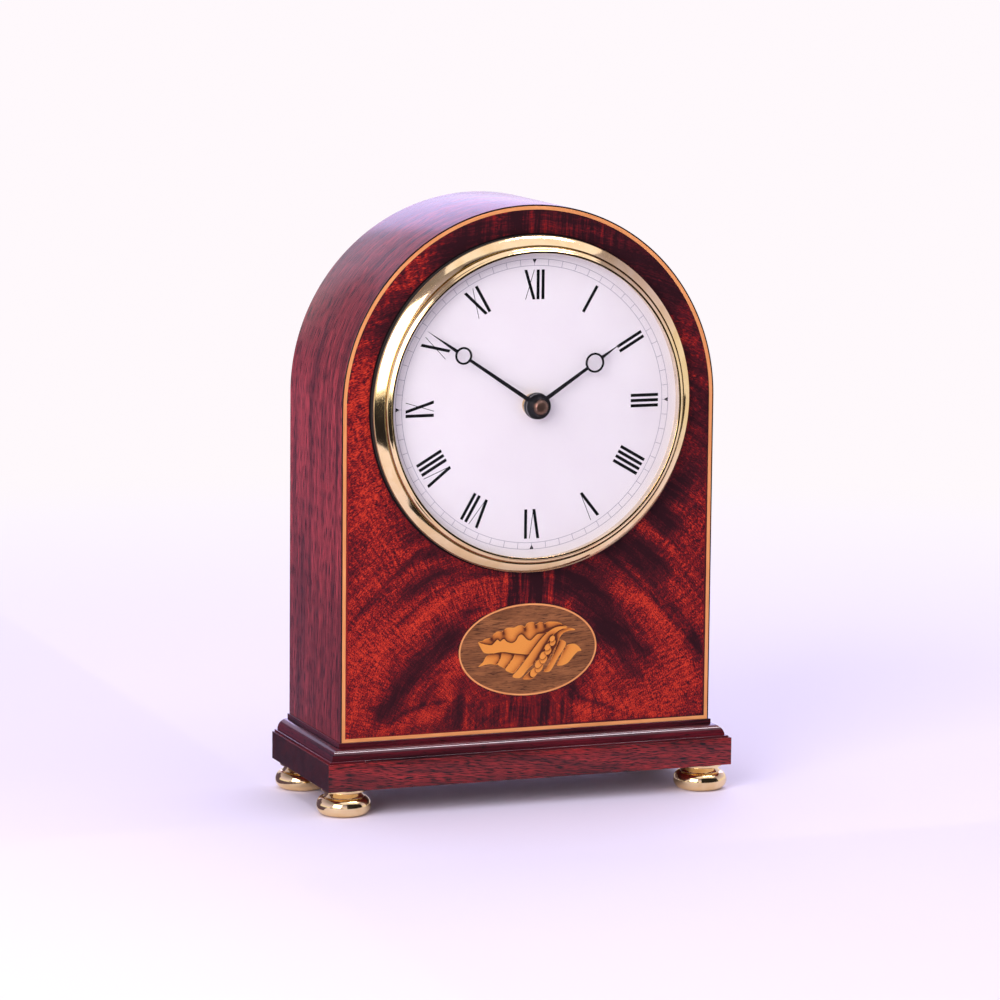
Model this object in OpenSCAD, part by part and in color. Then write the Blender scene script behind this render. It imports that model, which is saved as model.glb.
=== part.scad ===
// Arch-topped mantel clock: a veneered case on a moulded base with four bun
// feet, a brass bezel with a domed glass, a dial with two hands, and a
// battery movement that is reached through a hinged door in the back.
//
// Frame: X to the right, Y from the front to the back, Z up. The origin is on
// the ground, under the middle of the whole clock.

/* [Case] */
// Width of the arched case, also twice the radius of its top
case_w = 158; // [154:1:162]
// Height of the straight sides up to the spring of the arch
side_h = 131.8; // [128:0.2:140]
// Depth of the case from its veneered front to its back
case_d = 63.4; // [58:0.2:80]
// Thickness of the bent carcass under its veneer
carcass_t = 8.4; // [7:0.2:9]
// Thickness of the front board that carries the dial
board_t = 8; // [7:0.5:10]
// Width of the light stringing along the front edges
string_w = 2; // [1:0.1:2.4]

/* [Base] */
// How far the base stands out at the front and at both sides
base_out = 7.3; // [6.8:0.1:9]
// Height of the base board
base_h = 11.1; // [9:0.1:14]
// Height of the moulding between the base board and the case
mould_h = 7; // [6.8:0.1:9]
// Height of the bun feet
foot_h = 10.8; // [10.4:0.1:13]
// Radius of a bun foot at its widest
bun_r = 10.9; // [10:0.1:11.4]
// Distance from a foot's centre to the edges of the base
foot_inset = 9.6; // [9.2:0.1:16]

/* [Dial and glass] */
// Wood left between the case's edge and the bore for the dial
bore_border = 14; // [13.4:0.1:16]
// How far the brass bezel laps over the edge of the bore
bezel_lap = 2.2; // [1.6:0.1:3]
// Height of the top of the domed glass above the case front
glass_top = 14.2; // [14:0.1:17]
// Thickness of the glass
glass_t = 1.6; // [1.2:0.1:1.8]
// Clockwise angle of the hour hand from twelve
hour_angle = 57; // [0:1:360]
// Clockwise angle of the minute hand from twelve
minute_angle = 304; // [0:1:360]

/* [Inlay] */
// Long half axis of the oval panel
oval_rx = 29.5; // [26:0.5:31]
// Short half axis of the oval panel
oval_ry = 18.6; // [17.6:0.2:19.6]
// Height of the oval's centre above the bottom of the case
oval_z = 33; // [31:0.5:34]

/* [Back door] */
// Width of the frame round the arch-topped door
rail_w = 14.1; // [11:0.1:18]
// Thickness of the door and of the frame round it
door_t = 6; // [5:0.5:7]
// Gap round the door
door_gap = 0.4; // [0.3:0.05:0.6]

/* [Movement] */
// Running clearance of an arbor in its hole
run = 0.05; // [0.04:0.01:0.08]
// Radius of the arbor of the minute hand
arbor_r = 1.5; // [1.4:0.05:1.5]
// Radius of the pipe of the hour hand
pipe_r = 2.5; // [2.4:0.05:2.6]

/* [Hidden] */
$fn = 96;

// Finishes
mahogany = "#6e2a26";
dark_wood = "#3a1416";
boxwood = "#e6b06a";
plywood = "#c49a68";
brass = "#c9a24a";
steel = "#a8abb0";
black = "#151517";
plastic = "#2b2d31";

// Case
skin_t = 0.5;                              // veneer over the sides and the arch
face_t = 0.6;                              // veneer and inlay on the front
inner = skin_t + carcass_t;                // case outline to the inside of the carcass
case_z = foot_h + base_h + mould_h;        // bottom of the case
dial_z = case_z + side_h;                  // centre of the dial and of the arch
board_back = face_t + board_t;             // back of the front board
floor_t = 8;                               // board across the bottom of the case
block = 10;                                // legs of a glue block
door_z = 14;                               // bottom of the door opening
opening_r = case_w / 2 - inner - rail_w;   // half the width of the door opening
door_r = opening_r - door_gap;             // half the width of the door
knob_len = 9;                              // door knob behind the door
y_mid = (case_d + knob_len - glass_top) / 2;

// Bezel, glass and dial: radii from the bore, heights over the case front
bore_r = case_w / 2 - bore_border;
bezel_r = bore_r + bezel_lap;
fit = 0.1;                                 // slack of the bezel in the board, and of the dial in the bezel
rim_t = 1.3;                               // wall of the bezel's rim inside the board
dial_r = bore_r - rim_t - 2 * fit;
rebate_r = dial_r - 1.7;                   // seat of the glass
glass_r = rebate_r - 0.2;
lip_r = rebate_r - rim_t;                  // lip over the edge of the glass
dial_front = 2.1;
dial_t = 0.8;
dial_back = dial_front - dial_t;
glass_edge = 7.2;                          // outer edge of the glass
lip_z = glass_edge + 0.3;                  // underside of the lip
lip_t = 0.6;
dome_rise = glass_top - glass_edge;
dome_r = (pow(glass_r, 2) + pow(dome_rise, 2)) / (2 * dome_rise);

// Movement: half width, bottom and top from the arbor, depths behind the case front
mv_x = 28;
mv_bottom = -31;
mv_top = 26;
mv_front = -0.3;
mv_split = 9;
mv_back = 16.2;
wall = 1.2;
neck_r = 3.5;
neck_top = 4.6;
neck_bore = pipe_r + 0.06;
pivot_r = 0.5;
post_r = 1.2;

// Layers of the two gear trains, as depths behind the case front
hour_layer = [1, 2.2];
minute_layer = [2.7, 3.7];
centre_layer = [5.2, 6];
third_layer = [6.8, 7.6];
seconds_layer = [8.4, 9.2];
rotor_layer = [10, 10.8];
front_plate = [4, 4.8];
rear_plate = [11.6, 12.4];

// Arbors of the movement, from the arbor of the hands
third_at = [10.56, -2.25];
seconds_at = [13.74, 5.63];
inter_at = [8.28, 12.14];
rotor_at = [3.58, 13.85];
minute_at = [-11.81, -2.11];
set_at = [-13.9, 9.71];
fine_m = 0.25;
centre_m = 0.3;
minute_m = 0.5;
hour_m = 0.48;

// Battery, coil and circuit
cell_r = 7.25;
cell_l = 50.5;
cell_at = -22;
cell_depth = 8;
coil_at = 20;
coil_depth = 7.1;
coil_l = 14;
coil_x = -8;

// Hinges
pin_r = 0.6;
knuckle_r = 1.4;
leaf_t = 0.8;
leaf_w = 8;
leaf_h = 24;
hinge_z = [34, 112];
hinge_x = opening_r - door_gap / 2;
hinge_y = case_d + knuckle_r + 0.05;

// ---- placing -------------------------------------------------------------

// X to the right, Y back from the case front, Z up from the bottom of the case
module in_case() translate([0, -y_mid, case_z]) children();

// X to the right, Y up, Z forward from the case front, round the hand arbor
module in_dial() translate([0, -y_mid, dial_z]) rotate([90, 0, 0]) children();

// A shape drawn as seen from the front, made solid between two depths
module slab(y0, y1) translate([0, y1, 0]) rotate([90, 0, 0]) linear_extrude(y1 - y0) children();

// The same inside in_dial(), where a depth is below the case front
module layer(depths) translate([0, 0, -depths[1]]) linear_extrude(depths[1] - depths[0]) children();

// A disc or a tube inside in_dial(), between two heights over the case front
module disc(r, z0, z1) translate([0, 0, z0]) cylinder(r = r, h = z1 - z0);

module tube(r, bore, z0, z1) difference() {
  disc(r, z0, z1);
  disc(bore, z0 - 1, z1 + 1);
}

// The case outline, moved inwards, from a height above the bottom
module arch(inset, bottom = 0) {
  r = case_w / 2 - inset;
  intersection() {
    translate([0, side_h]) circle(r = r, $fn = 192);
    translate([-r, side_h]) square([2 * r, r]);
  }
  translate([-r, bottom]) square([2 * r, side_h - bottom]);
}

function ellipse_points(rx, ry, n = 96) = [for (i = [0:n - 1]) [rx * cos(i * 360 / n), ry * sin(i * 360 / n)]];

// ---- case ----------------------------------------------------------------

module arch_carcass() color(mahogany) in_case() slab(face_t, case_d) difference() {
  arch(skin_t);
  arch(inner, -1);
}

module arch_veneer() color(mahogany) in_case() slab(0, case_d) difference() {
  arch(0);
  arch(skin_t, -1);
}

module front_board() color(plywood) difference() {
  in_case() slab(face_t, board_back) difference() {
    arch(inner);
    translate([0, side_h]) circle(r = bore_r);
  }
  in_dial() clamp_places() translate([clamp_screw_r, 0, 0]) disc(clamp_shank_r, -board_back - 1, -board_back + 5);
}

module flame_veneer() color(mahogany) in_case() slab(0, face_t) difference() {
  arch(skin_t + string_w, string_w);
  translate([0, side_h]) circle(r = bore_r);
  translate([0, oval_z]) polygon(ellipse_points(oval_rx, oval_ry));
}

module boxwood_stringing() color(boxwood) in_case() slab(0, face_t) {
  difference() {
    arch(skin_t);
    arch(skin_t + string_w, string_w);
  }
  translate([0, oval_z]) difference() {
    polygon(ellipse_points(oval_rx, oval_ry));
    polygon(ellipse_points(oval_rx - 0.7, oval_ry - 0.7));
  }
}

module medallion_ground() color("#8a6244") in_case() slab(0, face_t) translate([0, oval_z]) difference() {
  polygon(ellipse_points(oval_rx - 0.7, oval_ry - 0.7));
  shell_pieces();
}

module shell_inlay() color("#dc9440") in_case() slab(0, face_t) translate([0, oval_z]) shell_pieces();

// The conch lies on its side: a scalloped lip over a body with five lobes below
// it, a beaded column across, and two lobes to the right of the column
lip_top = [
  [-21.5, 4.5], [-18.5, 6.5], [-15.5, 7], [-13.5, 8.5], [-11, 8.5], [-9, 9.5], [-6, 9.5], [-4, 10.5], [-2, 9.5],
  [-0.5, 10.5], [1.5, 11], [3.5, 10.5], [5.5, 11], [7.5, 10.2], [9.5, 11], [12, 10.6], [17, 8.4]
];
lip_edge = [
  [-21.5, 4], [-17.5, 3.8], [-15.5, 3], [-13, 5], [-10, 5.2], [-6.5, 3.6], [-3, 6.2], [-1, 6.2], [1, 4.2],
  [3.5, 6], [8.5, 7.6]
];
body_foot = [[5, 5], [3, 1.5], [0.5, -1], [-6, -1.5], [-11, -1], [-18, -2], [-20.5, 0.5]];
lobes = [
  [[-21.5, -5.5], [-18, -2.5], [-12.5, -1.6], [-13.5, -5], [-17, -4.8]],
  [[-13, -5.2], [-11, -1.4], [-6.5, -1.9], [-9, -4.5], [-10.5, -7]],
  [[-10, -7.5], [-6, -1.9], [-0.5, -1.6], [-3, -4.5], [-7, -8.5]],
  [[-6.8, -9.2], [0.5, -1.8], [4, 2], [9, 7], [13, 8.4], [8, 3.6], [3.5, -3], [-2, -10.2]],
  [[-1.5, -10.6], [3, -4.5], [7.5, 0.5], [9, 4], [14, 8], [19.5, 6.8], [15, 6.2], [11.5, 2], [7, -4], [2.5, -9.8]],
  [[6, -8.2], [12.5, 2], [16, 1.4], [11, -6.5], [8, -8.4]],
  [[12.5, -6.5], [16.5, 1], [19, 1.4], [22.5, -0.6], [18.5, -3], [15.5, -6.6]]
];

function flipped(list) = [for (i = [len(list) - 1:-1:0]) list[i]];

module shell_pieces() {
  seam = 0.35;
  polygon(concat(lip_top, flipped(lip_edge)));
  polygon(concat([for (p = lip_edge) p - [0, seam]], body_foot));
  for (lobe = lobes) polygon(lobe);
}

low_block = [floor_t + 6, 34];             // height above the bottom, and length
high_block = [side_h - 62, 24];

module glue_blocks() color(plywood) in_case() for (side = [0, 1]) mirror([side, 0, 0])
  for (b = [low_block, high_block])
    translate([case_w / 2 - inner, board_back, b[0]]) linear_extrude(b[1]) corner_block();

module corner_block() polygon([[0, 0], [-block, 0], [0, block]]);

module bottom_board() color(plywood) in_case() difference() {
  translate([inner - case_w / 2, board_back, 0]) cube([case_w - 2 * inner, case_d - door_t - board_back, floor_t]);
  base_screw_holes(-1, floor_t - 2);
}

module door_outline(half, bottom) {
  intersection() {
    translate([0, side_h]) circle(r = half, $fn = 192);
    translate([-half, side_h]) square([2 * half, half]);
  }
  translate([-half, bottom]) square([2 * half, side_h - bottom]);
}

module back_frame() color(mahogany) in_case() difference() {
  slab(case_d - door_t, case_d) difference() {
    arch(inner);
    door_outline(opening_r, door_z);
  }
  for (z = hinge_z) leaf_screws(z, 1) screw_hole();
}

// ---- base ----------------------------------------------------------------

base_w = case_w + 2 * base_out;
base_d = case_d + base_out;
screw_x = case_w / 2 - 21;
screw_at = [for (x = [-screw_x, screw_x]) for (y = [18, case_d - 17.4]) [x, y]];
screw_l = base_h + mould_h + floor_t - 2;

shank_r = 1.6;
head_r = 3.4;
head_h = 2.2;

// X to the right, Y back from the case front, Z up from the ground
module on_ground() translate([0, -y_mid, 0]) children();

module foot_places() for (side = [-1, 1]) {
  translate([side * (base_w / 2 - foot_inset), foot_inset - base_out, 0]) children();
  translate([side * (base_w / 2 - foot_inset), case_d - foot_inset, 0]) children();
}

module base_board() color(dark_wood) on_ground() difference() {
  translate([-base_w / 2, -base_out, foot_h]) cube([base_w, base_d, base_h]);
  foot_places() translate([0, 0, foot_h - 1]) cylinder(r = stud_r, h = stud_l - stud_low + 1);
  for (p = screw_at) translate([p[0], p[1], foot_h - 1]) {
    cylinder(r = shank_r, h = base_h + 2);
    cylinder(r = head_r, h = head_h + 1);
  }
}

module base_screw_holes(z0, z1) for (p = screw_at) translate([p[0], p[1], z0]) cylinder(r = shank_r, h = z1 - z0);

module sub_base() color(dark_wood) on_ground() difference() {
  translate([-case_w / 2, 0, foot_h + base_h]) cube([case_w, case_d, mould_h]);
  base_screw_holes(foot_h, case_z + 1);
}

module base_screws() color(brass) on_ground() for (p = screw_at) translate([p[0], p[1], foot_h]) {
  cylinder(r = head_r, h = head_h);
  cylinder(r = shank_r, h = screw_l);
}

// Section of the moulding: a step at the foot, a quarter round, and a small fillet on top
quarter_r = min(base_out - 3.1, mould_h - 2.8);
quarter_z = 0.8;
fillet_out = 0.75;
mould_section = concat(
  [[0, 0], [base_out - 1, 0], [base_out - 1, quarter_z]],
  [for (a = [0:9:90]) [0.9 + quarter_r * cos(a), quarter_z + quarter_r * sin(a)]],
  [[fillet_out, quarter_z + quarter_r], [fillet_out, mould_h], [0, mould_h]]
);

module mould_run(length) rotate([90, 0, 90]) linear_extrude(length) polygon(mould_section);

// Both runs are cut at 45 degrees where they meet at the front corners
module moulding_front() color(dark_wood) on_ground() intersection() {
  translate([case_w / 2 + base_out, 0, foot_h + base_h]) mirror([1, 0, 0]) mirror([0, 1, 0]) mould_run(base_w);
  translate([0, 0, foot_h]) linear_extrude(base_h + mould_h + 1) polygon([
    [-case_w / 2, 0], [case_w / 2, 0], [case_w / 2 + base_out, -base_out], [-case_w / 2 - base_out, -base_out]
  ]);
}

module moulding_sides() color(dark_wood) on_ground() for (side = [0, 1]) mirror([side, 0, 0]) intersection() {
  translate([case_w / 2, case_d, foot_h + base_h]) rotate([0, 0, -90]) mould_run(base_d);
  translate([0, 0, foot_h]) linear_extrude(base_h + mould_h + 1) polygon([
    [case_w / 2, 0], [case_w / 2 + base_out, -base_out], [case_w / 2 + base_out, case_d], [case_w / 2, case_d]
  ]);
}

stud_r = 2;
stud_l = 14;
stud_low = 6;                              // how far a stud goes down into its foot
bun_h = 7.4;
flat_r = 7.5;
shoulder_r = 8.2;
neck_out = 7;
flange_r = 9;
flange_t = 1.2;

// A turned foot: a flattened bun, a hollow neck and a thin flange against the base
module bun_foot() color(brass) difference() {
  rotate_extrude() polygon(concat(
    [[0, 0]],
    [for (a = [-90:10:90]) [flat_r + (bun_r - flat_r) * cos(a), bun_h / 2 * (1 + sin(a))]],
    [for (a = [0:15:90]) [shoulder_r - (shoulder_r - neck_out) * sin(a), bun_h + (foot_h - flange_t - bun_h) * a / 90]],
    [[flange_r, foot_h - flange_t], [flange_r, foot_h], [0, foot_h]]
  ));
  translate([0, 0, foot_h - stud_low]) cylinder(r = stud_r, h = stud_low + 1);
}

module foot_at(side, y) on_ground() translate([side * (base_w / 2 - foot_inset), y, 0]) bun_foot();

module foot_front_left() foot_at(-1, foot_inset - base_out);
module foot_front_right() foot_at(1, foot_inset - base_out);
module foot_rear_left() foot_at(-1, case_d - foot_inset);
module foot_rear_right() foot_at(1, case_d - foot_inset);

module foot_studs() color(steel) on_ground() foot_places()
  translate([0, 0, foot_h - stud_low]) cylinder(r = stud_r, h = stud_l);

// ---- bezel, glass and dial -----------------------------------------------

// Section of the bezel: the rim in the board, an outer wall, a sloping band, a
// groove, a bead, the lip over the glass and the seat of the dial
wall_z = 3.3;
groove_r = glass_r + 1.5;
bezel_section = [
  [bore_r - fit, -board_back], [bore_r - fit, 0], [bezel_r, 0], [bezel_r, wall_z],
  [bezel_r - 0.9, wall_z + 0.8], [bezel_r - 2.2, wall_z + 1.8], [groove_r + 0.3, lip_z - 1.4],
  [groove_r, lip_z - 1.7], [groove_r - 0.2, lip_z - 0.9], [groove_r - 0.7, lip_z - 0.2],
  [groove_r - 1.4, lip_z + 0.2], [groove_r - 1.8, lip_z + lip_t], [lip_r, lip_z + lip_t], [lip_r, lip_z],
  [rebate_r, lip_z], [rebate_r, dial_front], [dial_r + fit, dial_front], [dial_r + fit, -board_back]
];

module bezel() color(brass) in_dial() rotate_extrude($fn = 192) polygon(bezel_section);

module dome_glass() color([0.85, 0.92, 0.95, 0.3]) in_dial() intersection() {
  disc(glass_r, 4, glass_top + 1);
  translate([0, 0, glass_top - dome_r]) difference() {
    sphere(r = dome_r, $fn = 192);
    sphere(r = dome_r - glass_t, $fn = 192);
  }
}

module glass_ring() color(brass) in_dial() tube(rebate_r - 0.05, lip_r + 0.6, dial_front, glass_edge - glass_t - fit);

module dial_plate() color("#f4f0f2") in_dial() tube(dial_r, neck_r + fit, dial_back, dial_front);

module dial_ring() color(plywood) in_dial() tube(dial_r, dial_r - 5.5, -board_back, dial_back);

// Three clips on the back of the front board reach over the rims of the bezel and the dial ring
clamp_angles = [45, 135, 270];
clamp_w = 12;
clamp_t = 1.2;
clamp_in = dial_r - 3.5;
clamp_out = case_w / 2 - inner - 0.6;
clamp_shank_r = 1.1;
clamp_screw_r = (bore_r + clamp_out) / 2;

module clamp_places() for (a = clamp_angles) rotate([0, 0, a]) children();

module bezel_clamps() color(steel) in_dial() clamp_places() difference() {
  translate([clamp_in, -clamp_w / 2, -board_back - clamp_t]) cube([clamp_out - clamp_in, clamp_w, clamp_t]);
  translate([clamp_screw_r, 0, 0]) disc(clamp_shank_r, -board_back - clamp_t - 1, -board_back + 1);
}

module clamp_screws() color(steel) in_dial() clamp_places() translate([clamp_screw_r, 0, 0]) {
  disc(2.1, -board_back - clamp_t - 1.3, -board_back - clamp_t);
  disc(clamp_shank_r, -board_back - clamp_t - 0.1, -board_back + 5);
}

// ---- movement ------------------------------------------------------------

module case_outline(inset) translate([inset - mv_x, mv_bottom + inset])
  square([2 * (mv_x - inset), mv_top - mv_bottom - 2 * inset]);

module hole_at(p, r) translate(p) circle(r = r);

// Posts of the front case: three under the train plates and two under the stator
plate_posts = [[-17.3, 13.6], [20.8, -9.3], [20.8, 13.6]];
stator_posts = [[-18, 20], [2, 20]];

module movement_front_case() color(plastic) in_dial() {
  layer([mv_front, mv_front + 1]) difference() {
    case_outline(0);
    circle(r = neck_bore);
  }
  layer([mv_front + 1, mv_split]) difference() {
    case_outline(0);
    case_outline(wall);
  }
  layer([mv_front + 1, mv_split]) translate([-mv_x, -13.6]) square([2 * mv_x, 1]);
  tube(neck_r, neck_bore, -mv_front, neck_top);
  for (p = plate_posts) layer([mv_front + 1, front_plate[0]]) hole_at(p, post_r);
  for (p = stator_posts) layer([mv_front + 1, stator_layer[0]]) hole_at(p, post_r);
  layer([mv_front + 1, front_plate[0]]) hole_at(minute_at, 1);
}

// The back is open behind the cell, so that the cell can be lifted out
module movement_rear_case() color(plastic) in_dial() {
  layer([mv_split, mv_back - 1]) difference() {
    case_outline(0);
    case_outline(wall);
  }
  layer([mv_back - 1, mv_back]) difference() {
    case_outline(0);
    translate([-26, cell_at - 6.5]) square([52, 13]);
    hole_at(set_at, post_r + run);
  }
  layer([mv_split, mv_back - 1]) translate([-mv_x, -13.6]) square([2 * mv_x, 1]);
  for (p = [[-1, 15.5], [20.8, -9.3], [20.8, 13.6]]) layer([rear_plate[1], mv_back - 1]) hole_at(p, post_r);
  for (p = [[-23.5, -8], [-23.5, 4]]) layer([11.5, mv_back - 1]) hole_at(p, post_r);
}

module neck_nut() color(brass) in_dial() difference() {
  tube(4.6, neck_r, dial_front, 4.2);
  for (a = [0, 180]) rotate([0, 0, a]) translate([3.9, -0.4, 3.4]) cube([1, 0.8, 1]);
}

module rubber_washer() color(black) in_dial() tube(8, neck_r, -mv_front, dial_back);

front_plate_box = [[-19, -11.5], [42, 27]];
rear_plate_box = [[-4, -11.5], [27, 29]];

module train_plates() color("#d8d4c8") in_dial() {
  layer(front_plate) difference() {
    translate(front_plate_box[0]) square(front_plate_box[1]);
    circle(r = arbor_r + run);
    hole_at(set_at, post_r + run);
    for (p = [third_at, seconds_at, inter_at, rotor_at]) hole_at(p, pivot_r + run);
  }
  layer(rear_plate) difference() {
    translate(rear_plate_box[0]) square(rear_plate_box[1]);
    circle(r = 1 + run);
    for (p = [third_at, seconds_at, inter_at, rotor_at]) hole_at(p, pivot_r + run);
  }
}

// Teeth with straight flanks, slimmed for backlash; phase turns a tooth to that angle
function tooth_points(n, m, phase) = [
  for (k = [0:n - 1])
    for (p = [[-1.2, -1.2], [-1, 0], [-0.4, 0.85], [0.4, 0.85], [1, 0], [1.2, -1.2]])
      let (a = phase + (k + p[0] * 0.2) * 360 / n, r = n * m / 2 + p[1] * m)
        [r * cos(a), r * sin(a)]
];

module gear(n, m, phase, bore) difference() {
  polygon(tooth_points(n, m, phase));
  circle(r = bore);
}

function angle_to(a, b) = atan2(b[1] - a[1], b[0] - a[0]);

// Phase of a follower that takes the driver's tooth in the middle of a gap
function meshed(driver, follower, n) = angle_to(follower, driver) + 180 / n;

module wheel(at, n, m, phase, depths, bore) translate(at) layer(depths) gear(n, m, phase, bore);

module pivot(at) translate(at) disc(pivot_r, -rear_plate[1], -front_plate[0]);

module centre_arbor() color(steel) in_dial() {
  disc(arbor_r, -rear_plate[0], 7.2);
  disc(1, -rear_plate[1], -rear_plate[0]);
  disc(1, 7.2, 11);
  layer(minute_layer) gear(12, minute_m, angle_to([0, 0], minute_at), arbor_r - 0.5);
}

module centre_wheel() color(brass) in_dial()
  wheel([0, 0], 64, centre_m, meshed(third_at, [0, 0], 64), centre_layer, arbor_r + run);

module third_wheel() color(brass) in_dial() {
  wheel(third_at, 8, centre_m, angle_to(third_at, [0, 0]), centre_layer, pivot_r);
  wheel(third_at, 60, fine_m, meshed(seconds_at, third_at, 60), third_layer, pivot_r);
  pivot(third_at);
}

module seconds_wheel() color("#e8e2cf") in_dial() {
  wheel(seconds_at, 8, fine_m, angle_to(seconds_at, third_at), third_layer, pivot_r);
  wheel(seconds_at, 60, fine_m, meshed(inter_at, seconds_at, 60), seconds_layer, pivot_r);
  pivot(seconds_at);
}

module intermediate_wheel() color("#e8e2cf") in_dial() {
  wheel(inter_at, 8, fine_m, angle_to(inter_at, seconds_at), seconds_layer, pivot_r);
  wheel(inter_at, 32, fine_m, meshed(rotor_at, inter_at, 32), rotor_layer, pivot_r);
  pivot(inter_at);
}

module rotor() color(steel) in_dial() {
  wheel(rotor_at, 8, fine_m, angle_to(rotor_at, inter_at), rotor_layer, pivot_r);
  translate(rotor_at) tube(magnet_r, pivot_r, -coil_depth - 0.9, -coil_depth + 0.9);
  pivot(rotor_at);
}

// Two legs lead from the coil's core to the hole round the rotor's magnet
leg_w = 2;
core_x = [-19, 3.5];
magnet_r = 2.5;
stator_layer = [coil_depth - 0.5, coil_depth + 0.5];

module stator() color(steel) in_dial() layer(stator_layer) difference() {
  union() {
    translate([core_x[0], coil_at - leg_w / 2]) square([core_x[1] - core_x[0], leg_w]);
    translate([core_x[0], rotor_at[1] - leg_w / 2]) square([leg_w, coil_at - rotor_at[1] + leg_w / 2]);
    translate([core_x[0], rotor_at[1] - leg_w / 2]) square([rotor_at[0] - core_x[0] - magnet_r, leg_w]);
    translate([core_x[1] - leg_w, rotor_at[1]]) square([leg_w, coil_at - rotor_at[1]]);
    translate(rotor_at) circle(r = magnet_r + 1.7);
  }
  translate(rotor_at) circle(r = magnet_r + 0.4);
}

module along_coil(length) translate([coil_x - length / 2, coil_at, -coil_depth]) rotate([0, 90, 0]) children();

spool_r = 1.9;
winding_r = 3.5;
cheek_t = 0.8;
winding_l = coil_l - 2 * cheek_t;

module coil_bobbin() color("#3d6b4a") in_dial() difference() {
  union() {
    along_coil(coil_l) cylinder(r = spool_r, h = coil_l);
    for (z = [0, coil_l - cheek_t]) along_coil(coil_l) translate([0, 0, z]) cylinder(r = winding_r + 0.4, h = cheek_t);
  }
  layer(stator_layer) translate([core_x[0], coil_at - leg_w / 2])
    square([core_x[1] - core_x[0], leg_w]);
}

module coil_winding() color("#b5643a") in_dial() along_coil(winding_l) difference() {
  cylinder(r = winding_r, h = winding_l);
  translate([0, 0, -1]) cylinder(r = spool_r, h = coil_l + 1);
}

board_depths = [10.5, 11.5];
board_box = [[-26, -11.5], [15, 18]];

module circuit_board() color("#2f6b45") in_dial() layer(board_depths) translate(board_box[0]) square(board_box[1]);

// Quartz crystal in its can, and the clock chip under a drop of resin
module circuit_chips() color(black) in_dial() {
  translate([-23, -9.5, -board_depths[0]]) rotate([-90, 0, 0]) translate([0, -1, 0]) cylinder(r = 1, h = 6);
  layer([9.3, board_depths[0]]) translate([-17, -3]) circle(r = 3);
}

module battery_cell() color("#3c4f7a") in_dial() translate([-cell_l / 2, cell_at, -cell_depth]) rotate([0, 90, 0]) {
  cylinder(r = cell_r, h = cell_l - 1.5);
  cylinder(r = 2.75, h = cell_l);
}

contact = [0.6, 10, 10];

module cell_contacts() color(steel) in_dial() for (side = [0, 1]) mirror([side, 0, 0])
  translate([cell_l / 2, cell_at - contact[1] / 2, -cell_depth - contact[2] / 2]) cube(contact);

// ---- motion work and setting ---------------------------------------------

minute_phase = meshed([0, 0], minute_at, 36);

module minute_wheel() color("#e8e2cf") in_dial() {
  wheel(minute_at, 36, minute_m, minute_phase, minute_layer, 1 + run);
  wheel(minute_at, 10, hour_m, angle_to(minute_at, [0, 0]), [hour_layer[0], minute_layer[1]], 1 + run);
}

module hour_wheel() color("#e8e2cf") in_dial() {
  wheel([0, 0], 40, hour_m, meshed(minute_at, [0, 0], 40), hour_layer, arbor_r + run);
  tube(pipe_r, arbor_r + run, -hour_layer[1], 6.6);
}

// The pinion is turned on from the tooth of the minute wheel that faces it
set_phase = meshed(minute_at, set_at, 12) + 3 * (angle_to(minute_at, set_at) - minute_phase);

// Setting knob, its arbor and the pinion on the minute wheel, moulded in one piece
module set_knob() color(plastic) in_dial() {
  wheel(set_at, 12, minute_m, set_phase, minute_layer, post_r - 0.2);
  translate(set_at) {
    disc(post_r, -mv_back - 1, -minute_layer[0] + 1.2);
    disc(4.6, -mv_back - 4.4, -mv_back - 0.4);
    for (a = [0:20:340]) rotate([0, 0, a]) translate([4.6, 0, 0]) disc(0.35, -mv_back - 4.4, -mv_back - 0.4);
  }
}

// ---- hands ---------------------------------------------------------------

minute_tip = dial_r - 8.3;
minute_ring = minute_tip - 17.8;
hour_tip = minute_tip - 13.4;
hour_ring = hour_tip - 12.15;
hand_t = 0.5;

// A slim hand with an open ring near its pointed end
module blade(ring, ring_r, tip) difference() {
  union() {
    polygon([[-0.8, 0], [-0.5, ring - ring_r + 0.5], [0.5, ring - ring_r + 0.5], [0.8, 0]]);
    translate([0, ring]) circle(r = ring_r);
    polygon([[-0.75, ring + ring_r - 0.6], [0, tip], [0.75, ring + ring_r - 0.6]]);
  }
  translate([0, ring]) circle(r = ring_r - 0.75);
}

// Both blades are set down towards the dial, the long one further, to pass under the glass
hour_dip = 1.5;
minute_dip = 2.5;

module hour_hand() color(black) in_dial() rotate([0, 0, -hour_angle]) difference() {
  union() {
    disc(5.3, 5.3, 6.6);
    translate([0, 0, 5.7]) rotate([-hour_dip, 0, 0]) linear_extrude(hand_t) blade(hour_ring, 4, hour_tip);
  }
  disc(pipe_r, 5, 7);
}

module minute_hand() color(black) in_dial() rotate([0, 0, -minute_angle]) difference() {
  union() {
    disc(5.1, 7.2, 8.5);
    disc(3.6, 8.5, 10.2);
    translate([0, 0, 7.7]) rotate([-minute_dip, 0, 0]) linear_extrude(hand_t) blade(minute_ring, 3.5, minute_tip);
  }
  disc(1, 7, 11);
}

module hand_nut() color("#b8694a") in_dial() difference() {
  union() {
    disc(2.95, 10.2, 10.9);
    disc(2.3, 10.9, 11.4);
  }
  disc(1, 10, 11);
}

// ---- back door -----------------------------------------------------------

module back_door() color(mahogany) in_case() difference() {
  slab(case_d - door_t, case_d) door_outline(door_r, door_z + door_gap);
  for (z = hinge_z) leaf_screws(z, -1) screw_hole();
  translate([knob_x, case_d + 1, knob_z]) rotate([90, 0, 0]) cylinder(r = 1.5, h = door_t + 2);
  translate([catch_x, case_d - door_t, knob_z]) rotate([90, 0, 0]) translate([0, 0, -0.8]) cylinder(r = 5, h = 2);
}

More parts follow.
